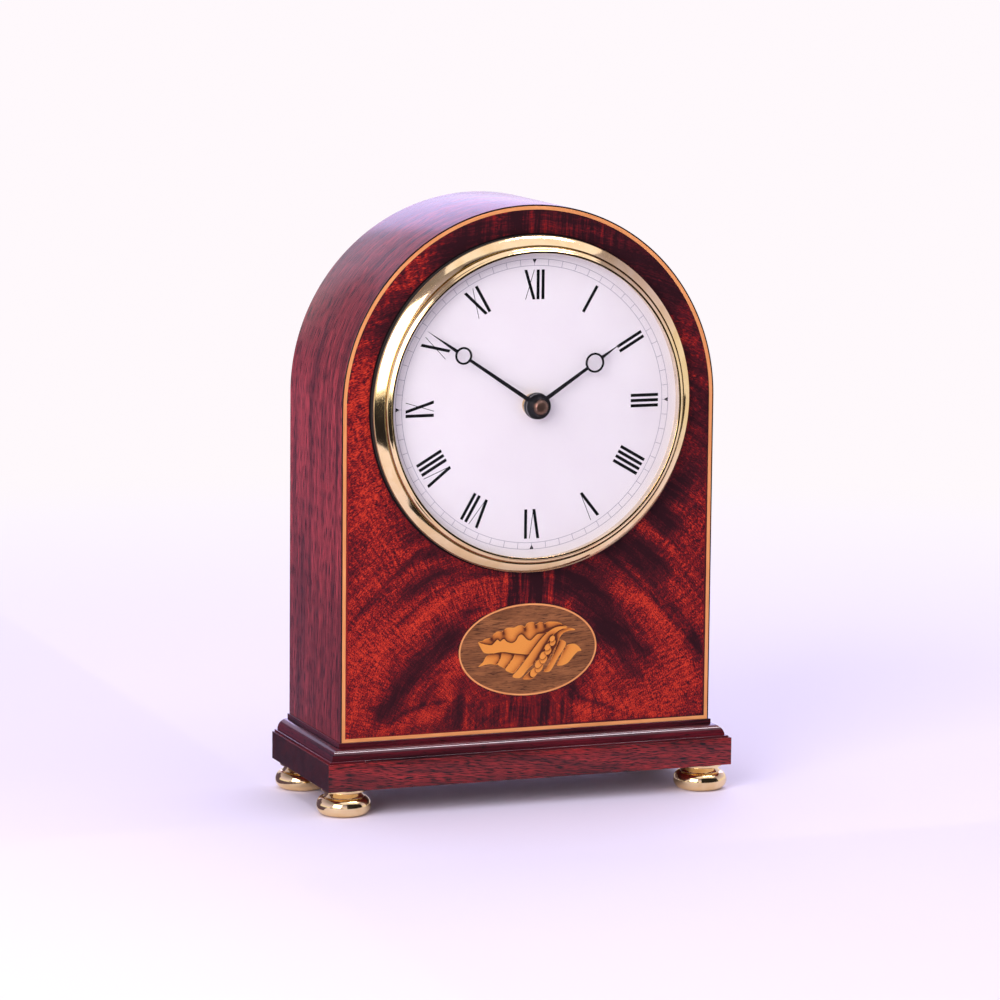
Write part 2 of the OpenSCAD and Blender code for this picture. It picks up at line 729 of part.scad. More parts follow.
module at_hinge(z) translate([hinge_x, hinge_y, z]) children();

module knuckle(from, length, bore) translate([0, 0, from]) difference() {
  cylinder(r = knuckle_r, h = length, $fn = 48);
  translate([0, 0, -1]) cylinder(r = bore, h = length + 2, $fn = 48);
}

// Two screws in each leaf, on the frame side or on the door side
module leaf_screws(z, side) for (dz = [-7, 7]) translate([hinge_x + side * 5.2, case_d + leaf_t, z + dz])
  rotate([90, 0, 0]) children();

screw_r = 0.8;
module screw_hole() translate([0, 0, -0.5]) cylinder(r = screw_r, h = 5.5 + leaf_t);
module screw_body() {
  translate([0, 0, -0.6]) cylinder(r = 1.7, h = 0.6);
  cylinder(r = screw_r, h = 5);
}

module leaf(side, from, length) translate([side > 0 ? 0.9 : -leaf_w, case_d - hinge_y, from])
  cube([leaf_w - 0.9, leaf_t, length]);

// A leaf meets its own knuckles and is cut back round those of the other leaf
module leaf_cuts(own, other) {
  for (z = own) translate([0, 0, z[0]]) cylinder(r = knuckle_r - 0.2, h = z[1], $fn = 48);
  for (z = other) translate([0, 0, z[0]]) cylinder(r = knuckle_r + 0.2, h = z[1], $fn = 48);
}

// Start and length of the door's knuckle, and of the frame's two
middle_h = 8;
end_h = (leaf_h - middle_h) / 2;
door_knuckle = [[run - middle_h / 2, middle_h - 2 * run]];
frame_knuckles = [[-leaf_h / 2, end_h], [middle_h / 2, end_h]];

module hinge_frame_leaves() color(brass) in_case() for (z = hinge_z) difference() {
  at_hinge(z) {
    difference() {
      leaf(1, -leaf_h / 2, leaf_h);
      leaf_cuts(frame_knuckles, [[-middle_h / 2, middle_h]]);
    }
    for (k = frame_knuckles) knuckle(k[0], k[1], pin_r);
  }
  leaf_screws(z, 1) screw_hole();
}

module hinge_door_leaves() color(brass) in_case() for (z = hinge_z) difference() {
  at_hinge(z) {
    difference() {
      leaf(-1, -leaf_h / 2, leaf_h);
      leaf_cuts(door_knuckle, [[-leaf_h / 2 - 1, end_h + 1 + run], [middle_h / 2 - run, end_h + 1 + run]]);
    }
    for (k = door_knuckle) knuckle(k[0], k[1], pin_r + run);
  }
  leaf_screws(z, -1) screw_hole();
}

module hinge_pins() color(steel) in_case() for (z = hinge_z) at_hinge(z)
  translate([0, 0, -leaf_h / 2]) cylinder(r = pin_r, h = leaf_h, $fn = 48);

module frame_leaf_screws() color(brass) in_case() for (z = hinge_z) leaf_screws(z, 1) screw_body();

module door_leaf_screws() color(brass) in_case() for (z = hinge_z) leaf_screws(z, -1) screw_body();

knob_x = 9.6 - door_r;
knob_z = 76;
catch_x = 8.6 - door_r;

module door_knob() color(brass) in_case() translate([knob_x, case_d, knob_z]) rotate([-90, 0, 0]) rotate_extrude()
  polygon([
    [0, -door_t + 1], [1.5, -door_t + 1], [1.5, 0], [4, 0], [4, 0.8], [2.2, 1.6], [2, 3.6],
    [3.4, 4.8], [4.4, 6.4], [4.2, 8], [3, knob_len], [0, knob_len]
  ]);

// The magnet stands on the inside of the carcass, clear of the plate on the door
module catch_magnet() color(black) in_case()
  translate([inner - case_w / 2, case_d - door_t - 8.2, knob_z - 5]) cube([case_w / 2 - inner + catch_x + 5, 8, 10]);

module catch_plate() color(steel) in_case() translate([catch_x, case_d - door_t, knob_z]) rotate([90, 0, 0])
  translate([0, 0, -0.8]) cylinder(r = 5, h = 0.8);

arch_carcass();
arch_veneer();
front_board();
flame_veneer();
boxwood_stringing();
medallion_ground();
shell_inlay();
glue_blocks();
bottom_board();
back_frame();
base_board();
sub_base();
moulding_front();
moulding_sides();
foot_front_left();
foot_front_right();
foot_rear_left();
foot_rear_right();
foot_studs();
base_screws();
bezel();
dome_glass();
glass_ring();
dial_plate();
dial_ring();
bezel_clamps();
clamp_screws();
movement_front_case();
movement_rear_case();
neck_nut();
rubber_washer();
train_plates();
centre_arbor();
centre_wheel();
third_wheel();
seconds_wheel();
intermediate_wheel();
rotor();
stator();
coil_bobbin();
coil_winding();
circuit_board();
circuit_chips();
battery_cell();
cell_contacts();
minute_wheel();
hour_wheel();
set_knob();
hour_hand();
minute_hand();
hand_nut();
back_door();
hinge_frame_leaves();
hinge_door_leaves();
hinge_pins();
frame_leaf_screws();
door_leaf_screws();
door_knob();
catch_magnet();
catch_plate();
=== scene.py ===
"""Dressing of an arch-topped mantel clock.

The clock has an inlaid mahogany case on a moulded base with four brass bun
feet, a brass bezel with a domed glass, a printed dial with two hands, and a
door in the back. Sizes in the classes are millimetres, and the meshes are in
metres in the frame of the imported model.
"""

import logging
import math
from dataclasses import dataclass, replace
from enum import Enum
from typing import Callable, ClassVar, Sequence

import bmesh
import bpy
import numpy as np
from mathutils import Matrix, Vector
from mathutils.geometry import delaunay_2d_cdt


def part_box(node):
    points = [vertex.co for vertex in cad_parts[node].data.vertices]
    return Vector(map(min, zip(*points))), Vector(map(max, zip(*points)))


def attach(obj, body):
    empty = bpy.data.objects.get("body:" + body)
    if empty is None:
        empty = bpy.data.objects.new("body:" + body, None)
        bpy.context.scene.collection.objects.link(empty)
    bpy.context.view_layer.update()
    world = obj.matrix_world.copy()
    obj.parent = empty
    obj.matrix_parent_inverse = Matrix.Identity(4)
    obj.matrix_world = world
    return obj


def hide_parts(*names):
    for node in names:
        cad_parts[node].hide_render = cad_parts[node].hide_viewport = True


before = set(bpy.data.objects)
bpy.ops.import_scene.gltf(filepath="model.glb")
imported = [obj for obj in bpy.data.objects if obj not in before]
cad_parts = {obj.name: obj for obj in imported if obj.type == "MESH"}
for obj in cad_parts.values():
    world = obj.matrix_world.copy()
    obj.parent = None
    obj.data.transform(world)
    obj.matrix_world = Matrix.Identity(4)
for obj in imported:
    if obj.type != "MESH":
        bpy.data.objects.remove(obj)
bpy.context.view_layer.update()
NODES: dict[str, bpy.types.Object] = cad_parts

log = logging.getLogger("mantel_clock")

Array = np.ndarray
Colour = tuple[float, float, float]
MM = 0.001


# ---- where things stand ----------------------------------------------------


@dataclass(frozen=True)
class Datum:
    """The case's main planes and axes in the row frame, in millimetres."""

    front: float
    back: float
    bottom: float
    half: float
    axis: float
    base_low: float
    base_high: float
    base_half: float
    base_front: float

    @classmethod
    def from_frame(cls) -> "Datum":
        """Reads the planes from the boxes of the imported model's nodes."""
        veneer = [np.array(corner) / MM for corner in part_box("arch_veneer")]
        board = [np.array(corner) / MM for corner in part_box("base_board")]
        dial = [np.array(corner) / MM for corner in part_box("dial_plate")]
        return cls(
            front=float(veneer[0][1]),
            back=float(veneer[1][1]),
            bottom=float(veneer[0][2]),
            half=float(veneer[1][0]),
            axis=float(dial[0][2] + dial[1][2]) / 2,
            base_low=float(board[0][2]),
            base_high=float(board[1][2]),
            base_half=float(board[1][0]),
            base_front=float(board[0][1]),
        )

    @property
    def depth(self) -> float:
        """Depth of the case from its front to its back."""
        return self.back - self.front

    @property
    def spring(self) -> float:
        """Height of the arch's spring over the bottom of the case."""
        return self.axis - self.bottom

    def case(self, points: Array) -> Array:
        """Places points given as right, back from the front, up from the case's bottom."""
        return points + np.array([0.0, self.front, self.bottom])

    def dial(self, points: Array) -> Array:
        """Places points given as right, up from the dial's centre, and out from the front."""
        x, up, out = np.moveaxis(points, -1, 0)
        return np.stack([x, self.front - out, self.axis + up], -1)


class Side(Enum):
    """Which way a wood's grain runs: with X, with Z, or with the piece's own map."""

    ACROSS = "x"
    UPRIGHT = "z"
    ALONG_RUN = "uv"


# ---- surfaces --------------------------------------------------------------


def rounded(
    points: Sequence[Sequence[float]], radius: float | Sequence[float], steps: int = 4, closed: bool = True
) -> Array:
    """Rounds the corners of a polyline.

    Each corner P between neighbours A and B becomes the curve
    (1-s)^2 S + 2s(1-s) P + s^2 E, where S and E lie at `radius` from P towards
    A and B, or at 45% of the shorter leg.

    Args:
        points: the corners, (n, 2).
        radius: how far from a corner its curve starts, one or one per corner.
        steps: parts of each curve.
        closed: whether the last corner is joined to the first.

    Returns:
        The rounded polyline, (m, 2).
    """
    p = np.asarray(points, float)
    before, after = np.roll(p, 1, 0) - p, np.roll(p, -1, 0) - p
    long_a = np.linalg.norm(before, axis=1, keepdims=True)
    long_b = np.linalg.norm(after, axis=1, keepdims=True)
    reach = np.broadcast_to(np.asarray(radius, float), len(p))[:, None]
    cut = np.minimum(reach, 0.45 * np.minimum(long_a, long_b))
    start, end = p + before / long_a * cut, p + after / long_b * cut
    s = np.linspace(0, 1, steps + 1)[None, :, None]
    curve = (1 - s) ** 2 * start[:, None] + 2 * s * (1 - s) * p[:, None] + s**2 * end[:, None]
    if closed:
        return curve.reshape(-1, 2)
    return np.concatenate([p[:1], curve[1:-1].reshape(-1, 2), p[-1:]])


def smooth_loop(points: Sequence[Sequence[float]], per_leg: int = 6) -> Array:
    """Catmull-Rom curve through a closed loop of points, with `per_leg` parts between each pair."""
    p = np.asarray(points, float)
    a, b, c, d = np.roll(p, 1, 0), p, np.roll(p, -1, 0), np.roll(p, -2, 0)
    s = np.linspace(0, 1, per_leg, endpoint=False)[None, :, None]
    a, b, c, d = a[:, None], b[:, None], c[:, None], d[:, None]
    curve = 0.5 * (2 * b + (c - a) * s + (2 * a - 5 * b + 4 * c - d) * s**2 + (3 * b - a - 3 * c + d) * s**3)
    return curve.reshape(-1, 2)


def closed_up(ring: Array) -> Array:
    """A ring of points with its first point once more at its end."""
    return np.vstack([ring, ring[:1]])


def lengths(line: Array) -> Array:
    """Length from the start of a polyline to each of its points."""
    return np.append(0.0, np.cumsum(np.linalg.norm(np.diff(line, axis=0), axis=1)))


def ellipse(across: float, up: float, count: int) -> Array:
    """An ellipse about the origin: (a cos t, b sin t), (count, 2)."""
    t = np.linspace(0, 2 * np.pi, count, endpoint=False)
    return np.stack([across * np.cos(t), up * np.sin(t)], -1)


def turned(profile: Array, count: int) -> Array:
    """Turns a profile of (radius, height) about the height axis: x = r cos t, y = r sin t, z = h.

    Args:
        profile: the section, (m, 2).
        count: steps round the axis.

    Returns:
        The grid, (m, count, 3).
    """
    t = np.linspace(0, 2 * np.pi, count, endpoint=False)
    r, h = profile[:, :1], profile[:, 1:]
    return np.stack([r * np.cos(t), r * np.sin(t), h + 0 * t], -1)


def swept(section: Array, path: Array, outward: Array) -> Array:
    """Carries a section along a path: point = path + out * outward + up * z.

    Args:
        section: pairs of (out, up), (m, 2).
        path: the path's points, (n, 3).
        outward: direction in which the section's first number grows at each
            point of the path, longer than 1 where two runs are mitred, (n, 3).

    Returns:
        The grid, (m, n, 3).
    """
    lift = np.array([0.0, 0.0, 1.0])
    return path[None] + section[:, :1, None] * outward[None] + section[:, 1:, None] * lift


class Surface:
    """Grids and flat ends gathered into one closed mesh, in millimetres."""

    def __init__(self) -> None:
        """Starts with no points."""
        self._points: list[Array] = []
        self._faces: list[list[int]] = []
        self._uvs: list[Array] = []
        self._shade: list[Array] = []
        self._second: list[Array] = []
        self._count = 0

    def _take(self, points: Array, shade: Array | None = None, second: Array | None = None) -> int:
        """Adds points, with up to two values at each, and returns the number of the first."""
        flat = points.reshape(-1, 3)
        first = self._count
        self._points.append(flat)
        for kept, given in ((self._shade, shade), (self._second, second)):
            kept.append(np.zeros(len(flat)) if given is None else np.asarray(given, float).reshape(-1))
        self._count += len(flat)
        return first

    def grid(
        self, points: Array, around: bool = False, tube: bool = False, along: Array | None = None,
        ends: bool = False,
    ) -> "Surface":
        """Adds a grid of quads.

        Args:
            points: rows by columns by 3.
            around: joins the last column to the first.
            tube: joins the last row to the first.
            along: length of the path at each column, for a pattern that runs
                with it, as many as the columns and one more with `around`.
            ends: closes the first and the last column with a flat face.

        Returns:
            The surface itself.
        """
        rows, cols = points.shape[:2]
        first = self._take(points)
        r, c = np.meshgrid(np.arange(rows - (not tube)), np.arange(cols - (not around)), indexing="ij")
        r1, c1 = (r + 1) % rows, (c + 1) % cols
        quads = np.stack([r * cols + c, r * cols + c1, r1 * cols + c1, r1 * cols + c], -1).reshape(-1, 4)
        self._faces += (quads + first).tolist()
        girth = np.linalg.norm(np.diff(points[:, 0], axis=0, append=points[:1, 0]), axis=1)
        v = np.concatenate([[0.0], np.cumsum(girth)])
        u = np.arange(cols + 1, dtype=float) if along is None else np.append(along, along[-1])
        corners = np.stack(
            [np.stack([u[c + i], v[r + j]], -1) for i, j in ((0, 0), (1, 0), (1, 1), (0, 1))], -2
        )
        self._uvs.append(corners.reshape(-1, 2))
        if ends:
            ring = np.arange(rows) * cols + first
            self.face(ring.tolist(), points[:, 0, :2])
            self.face((ring + cols - 1).tolist(), points[:, -1, :2])
        return self

    def face(self, ring: Sequence[int], uv: Array) -> "Surface":
        """Adds one flat face over points that are already in the surface."""
        self._faces.append(list(ring))
        self._uvs.append(np.asarray(uv, float))
        return self

    def prisms(self, quads: Array, low: float, high: float) -> "Surface":
        """Adds upright prisms on four-cornered feet: (x, y) of each foot at heights low and high.

        Args:
            quads: the feet, (n, 4, 2).
            low: height of the feet.
            high: height of the tops.

        Returns:
            The surface itself.
        """
        n = len(quads)
        foot = np.concatenate([quads, np.full((n, 4, 1), low)], -1)
        top = np.concatenate([quads, np.full((n, 4, 1), high)], -1)
        first = self._take(np.concatenate([foot, top], 1))
        block = np.array([[3, 2, 1, 0], [4, 5, 6, 7], [0, 1, 5, 4], [1, 2, 6, 5], [2, 3, 7, 6], [3, 0, 4, 7]])
        faces = first + 8 * np.arange(n)[:, None, None] + block[None]
        self._faces += faces.reshape(-1, 4).tolist()
        self._uvs.append(np.zeros((n * 24, 2)))
        return self

    def tile(
        self, outline: Array, low: float, high: float, dark_edges: Sequence[Array], reach: float,
        step: float = 0.45,
    ) -> "Surface":
        """Adds a flat tile whose shade at a point is the sum of exp(-distance/reach) to its dark edges.

        Args:
            outline: the tile's edge, (n, 2).
            low: height of the underside.
            high: height of the face.
            dark_edges: polylines from which the shade fades.
            reach: how far the shade goes.
            step: spacing of the points inside.

        Returns:
            The surface itself.
        """
        plan, faces = filled([outline], step)
        shade = np.zeros(len(plan))
        for edge in dark_edges:
            shade += np.exp(-distance(plan, np.asarray(edge, float)) / reach)
        return self.sheet([outline], plan, faces, low, high, plan, np.clip(shade, 0, 1))

    def sheet(
        self, rims: Sequence[Array], plan: Array, faces: list, low: float, high: float, uv: Array,
        shade: Array, second: Array | None = None,
    ) -> "Surface":
        """Adds a flat sheet with holes from its triangulated plan: the face, its underside and the walls.

        Args:
            rims: the outer edge and the edges of the holes.
            plan: the face's points, (n, 2).
            faces: its triangles.
            low: height of the underside.
            high: height of the face.
            uv: the map at each point, in millimetres.
            shade: a value at each point.
            second: another value at each point.

        Returns:
            The surface itself.
        """
        first = self._take(np.column_stack([plan, np.full(len(plan), high)]), shade, second)
        self._faces += (np.array(faces) + first).tolist()
        self._uvs.append(uv[np.array(faces).ravel()])
        under, faces = filled(rims, 1e3)
        first = self._take(np.column_stack([under, np.full(len(under), low)]))
        self._faces += (np.array(faces) + first).tolist()
        self._uvs.append(under[np.array(faces).ravel()])
        for rim in rims:
            self.grid(
                np.stack([np.column_stack([rim, np.full(len(rim), z)]) for z in (high, low)]), around=True
            )
        return self

    def place(self, move: Callable[[Array], Array]) -> None:
        """Moves every point, by a function of (n, 3) arrays."""
        self._points = [move(points) for points in self._points]

    def build(self, name: str, crease: float = 34.0) -> bpy.types.Object:
        """Makes the object: points that meet are merged, and faces are turned outwards.

        Args:
            name: the piece's name.
            crease: edges sharper than this many degrees stay sharp.

        Returns:
            The object, in metres, at the origin.
        """
        mesh = bpy.data.meshes.new(name)
        mesh.from_pydata((np.concatenate(self._points) * MM).tolist(), [], self._faces)
        layer = mesh.uv_layers.new(name="run")
        layer.data.foreach_set("uv", (np.concatenate(self._uvs) * 0.01).astype(np.float32).ravel())
        for label, kept in (("shade", self._shade), ("second", self._second)):
            values = mesh.attributes.new(label, "FLOAT", "POINT")
            values.data.foreach_set("value", np.concatenate(kept).astype(np.float32))
        joined = bmesh.new()
        joined.from_mesh(mesh)
        bmesh.ops.remove_doubles(joined, verts=joined.verts, dist=2e-7)
        bmesh.ops.dissolve_degenerate(joined, edges=joined.edges, dist=1e-8)
        bmesh.ops.recalc_face_normals(joined, faces=joined.faces)
        joined.to_mesh(mesh)
        joined.free()
        mesh.polygons.foreach_set("use_smooth", np.ones(len(mesh.polygons), bool))
        mesh.set_sharp_from_angle(angle=math.radians(crease))
        return bpy.data.objects.new(name, mesh)


def within(points: Array, ring: Array) -> Array:
    """Whether each point is inside a closed ring, by the number of legs that a level ray crosses."""
    a, b = ring, np.roll(ring, -1, 0)
    straddles = (a[:, 1] > points[:, 1:]) != (b[:, 1] > points[:, 1:])
    rise = np.where(b[:, 1] == a[:, 1], 1e-9, b[:, 1] - a[:, 1])
    crossing = a[:, 0] + (points[:, 1:] - a[:, 1]) * (b[:, 0] - a[:, 0]) / rise
    return (straddles & (points[:, :1] < crossing)).sum(1) % 2 == 1


def filled(rims: Sequence[Array], step: float) -> tuple[Array, list]:
    """Fills a plan with triangles over its rims and an inner grid of points.

    Args:
        rims: the outer edge, then the edges of the holes, (n, 2) each.
        step: spacing of the inner points.

    Returns:
        The points, (m, 2), and the triangles.
    """
    lo, hi = rims[0].min(0), rims[0].max(0)
    gx, gy = np.meshgrid(np.arange(lo[0], hi[0], step), np.arange(lo[1], hi[1], step))
    inner = np.stack([gx.ravel(), gy.ravel()], -1)
    keep = within(inner, rims[0])
    for rim in rims:
        keep &= distance(inner, closed_up(rim)) > 0.4 * step
    for rim in rims[1:]:
        keep &= ~within(inner, rim)
    plan = np.concatenate([*rims, inner[keep]])
    ends = np.cumsum([0] + [len(rim) for rim in rims])
    edges = [
        (int(s + i), int(s + (i + 1) % (e - s))) for s, e in zip(ends[:-1], ends[1:]) for i in range(e - s)
    ]
    flat, _, faces, *_ = delaunay_2d_cdt([Vector(p) for p in plan], edges, [], 1, 1e-6)
    plan, faces = np.array([tuple(p) for p in flat]), np.array(faces)
    middle = plan[faces].mean(1)
    keep = within(middle, rims[0])
    for rim in rims[1:]:
        keep &= ~within(middle, rim)
    return plan, faces[keep].tolist()


def distance(points: Array, line: Array) -> Array:
    """Distance of each point to a polyline, as the least distance to its legs."""
    a, leg = line[:-1], np.diff(line, axis=0)
    away = points[:, None] - a[None]
    share = np.clip((away * leg).sum(-1) / np.maximum((leg * leg).sum(-1), 1e-12), 0, 1)
    return np.linalg.norm(away - share[..., None] * leg, axis=-1).min(1)


def eased(node: str, name: str, width: float, segments: int = 2) -> bpy.types.Object:
    """Copies a node's solid, merges it and eases its edges with a bevel.

    Args:
        node: the node that is copied.
        name: the new piece's name.
        width: width of the eased edge in millimetres.
        segments: facets across it.

    Returns:
        The piece.
    """
    mesh = NODES[node].data.copy()
    mesh.name = name
    mesh.materials.clear()
    solid = bmesh.new()
    solid.from_mesh(mesh)
    bmesh.ops.remove_doubles(solid, verts=solid.verts, dist=2e-6)
    bmesh.ops.dissolve_limit(solid, angle_limit=math.radians(0.6), verts=solid.verts, edges=solid.edges)
    solid.to_mesh(mesh)
    solid.free()
    mesh.polygons.foreach_set("use_smooth", np.ones(len(mesh.polygons), bool))
    piece = bpy.data.objects.new(name, mesh)
    bevel = piece.modifiers.new("eased_edges", "BEVEL")
    bevel.width, bevel.segments, bevel.limit_method = width * MM, segments, "ANGLE"
    bevel.angle_limit = math.radians(35)
    bevel.use_clamp_overlap = True
    weighted = piece.modifiers.new("flat_faces", "WEIGHTED_NORMAL")
    weighted.keep_sharp = True
    return piece


def fit(piece: bpy.types.Object, finish: "Finish", body: str, slot: str, *nodes: str) -> bpy.types.Object:
    """Puts a piece in the scene with its finish, on a body, in place of nodes.

    Args:
        piece: the new object.
        finish: what it is finished with.
        body: the body that it moves with.
        slot: the record's material slot; not used.
        nodes: the nodes that it stands for.

    Returns:
        The piece.
    """
    bpy.context.scene.collection.objects.link(piece)
    piece.data.materials.clear()
    piece.data.materials.append(finish.material())
    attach(piece, body)
    if nodes:
        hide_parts(*nodes)
    log.info("%s: %d faces on %s, %s", piece.name, len(piece.data.polygons), body, finish.name)
    return piece


def dress(finish: "Finish", *nodes: str) -> None:
    """Gives a finish to nodes that keep their own meshes."""
    for node in nodes:
        mesh = NODES[node].data
        mesh.materials.clear()
        mesh.materials.append(finish.material())
        log.info("%s: dressed in %s", node, finish.name)


# ---- shader nodes ----------------------------------------------------------


Value = float | int | bpy.types.NodeSocket


class Wiring:
    """Short names for the nodes that the finishes are wired from."""

    def __init__(self, tree: bpy.types.NodeTree) -> None:
        """Takes the tree to wire and clears it."""
        self.tree = tree
        tree.nodes.clear()

    def node(self, kind: str, feeds: dict | None = None, **settings) -> bpy.types.Node:
        """Adds a node, sets its properties, and feeds its inputs by name or number.

        Args:
            kind: the node's type name after ShaderNode.
            feeds: values, colours or sockets for the inputs.
            settings: properties of the node.

        Returns:
            The node.
        """
        made = self.tree.nodes.new("ShaderNode" + kind)
        for key, value in settings.items():
            setattr(made, key, value)
        for key, value in (feeds or {}).items():
            socket = made.inputs[key]
            if isinstance(value, bpy.types.NodeSocket):
                self.tree.links.new(value, socket)
            elif isinstance(value, (tuple, list)) and socket.type == "RGBA":
                socket.default_value = (*value[:3], 1.0)
            else:
                socket.default_value = value
        return made

    def math(
        self, op: str, a: Value, b: Value = 0.0, c: Value = 0.0, clamp: bool = False
    ) -> bpy.types.NodeSocket:
        """A Math node's result."""
        return self.node("Math", {0: a, 1: b, 2: c}, operation=op, use_clamp=clamp).outputs[0]

    def length(self, a: Value) -> bpy.types.NodeSocket:
        """The length of a vector."""
        return self.node("VectorMath", {0: a}, operation="LENGTH").outputs["Value"]

    def split(self, a: Value) -> list[bpy.types.NodeSocket]:
        """The three parts of a vector."""
        return list(self.node("SeparateXYZ", {0: a}).outputs)

    def join(self, x: Value, y: Value, z: Value = 0.0) -> bpy.types.NodeSocket:
        """A vector from three parts."""
        return self.node("CombineXYZ", {0: x, 1: y, 2: z}).outputs[0]

    def noise(
        self, at: Value, scale: float = 1.0, detail: float = 3.0, rough: float = 0.55, twist: float = 0.0
    ) -> bpy.types.NodeSocket:
        """A Noise Texture's value."""
        feeds = {"Vector": at, "Scale": scale, "Detail": detail, "Roughness": rough, "Distortion": twist}
        return self.node("TexNoise", feeds).outputs[0]

    def between(
        self, value: Value, low: float, high: float, to: tuple[Value, Value] = (0.0, 1.0), soft: bool = True
    ) -> bpy.types.NodeSocket:
        """A value's place between low and high, clamped, as a smooth or straight step."""
        feeds = {"Value": value, "From Min": low, "From Max": high, "To Min": to[0], "To Max": to[1]}
        kind = "SMOOTHSTEP" if soft else "LINEAR"
        return self.node("MapRange", feeds, interpolation_type=kind, clamp=True).outputs[0]

    def blend(self, share: Value, a: Value | Colour, b: Value | Colour) -> bpy.types.NodeSocket:
        """A Mix node's colour."""
        made = self.node("Mix", data_type="RGBA", clamp_factor=True)
        for key, value in ((0, share), (6, a), (7, b)):
            socket = made.inputs[key]
            if isinstance(value, bpy.types.NodeSocket):
                self.tree.links.new(value, socket)
            else:
                socket.default_value = (*value, 1.0) if isinstance(value, tuple) else value
        return made.outputs[2]

    def ramp(self, value: Value, stops: Sequence[tuple[float, Colour]]) -> bpy.types.NodeSocket:
        """A Color Ramp's colour, from (place, colour) stops."""
        made = self.node("ValToRGB", {0: value})
        band = made.color_ramp
        for i, (place, colour) in enumerate(stops):
            stop = band.elements[i] if i < 2 else band.elements.new(place)
            stop.position = place
            stop.color = (*colour, 1.0)
        return made.outputs[0]

    def millimetres(self) -> bpy.types.NodeSocket:
        """Object coordinates in millimetres."""
        at = self.node("TexCoord").outputs["Object"]
        return self.node("VectorMath", {0: at, "Scale": 1000.0}, operation="SCALE").outputs[0]

    def run(self) -> bpy.types.NodeSocket:
        """The piece's own map, in millimetres along and round its run."""
        at = self.node("UVMap", uv_map="run").outputs[0]
        return self.node("VectorMath", {0: at, "Scale": 100.0}, operation="SCALE").outputs[0]

    def bump(self, height: Value, depth: float) -> bpy.types.NodeSocket:
        """A Bump node's normal; depth is in millimetres."""
        return self.node("Bump", {"Height": height, "Distance": depth * MM}).outputs[0]

    def group(self, effect: bpy.types.NodeTree, feeds: dict) -> bpy.types.Node:
        """Places an effect's group with its values."""
        made = self.tree.nodes.new("ShaderNodeGroup")
        made.node_tree = effect
        for key, value in feeds.items():
            if isinstance(value, bpy.types.NodeSocket):
                self.tree.links.new(value, made.inputs[key])
            else:
                made.inputs[key].default_value = value
        return made


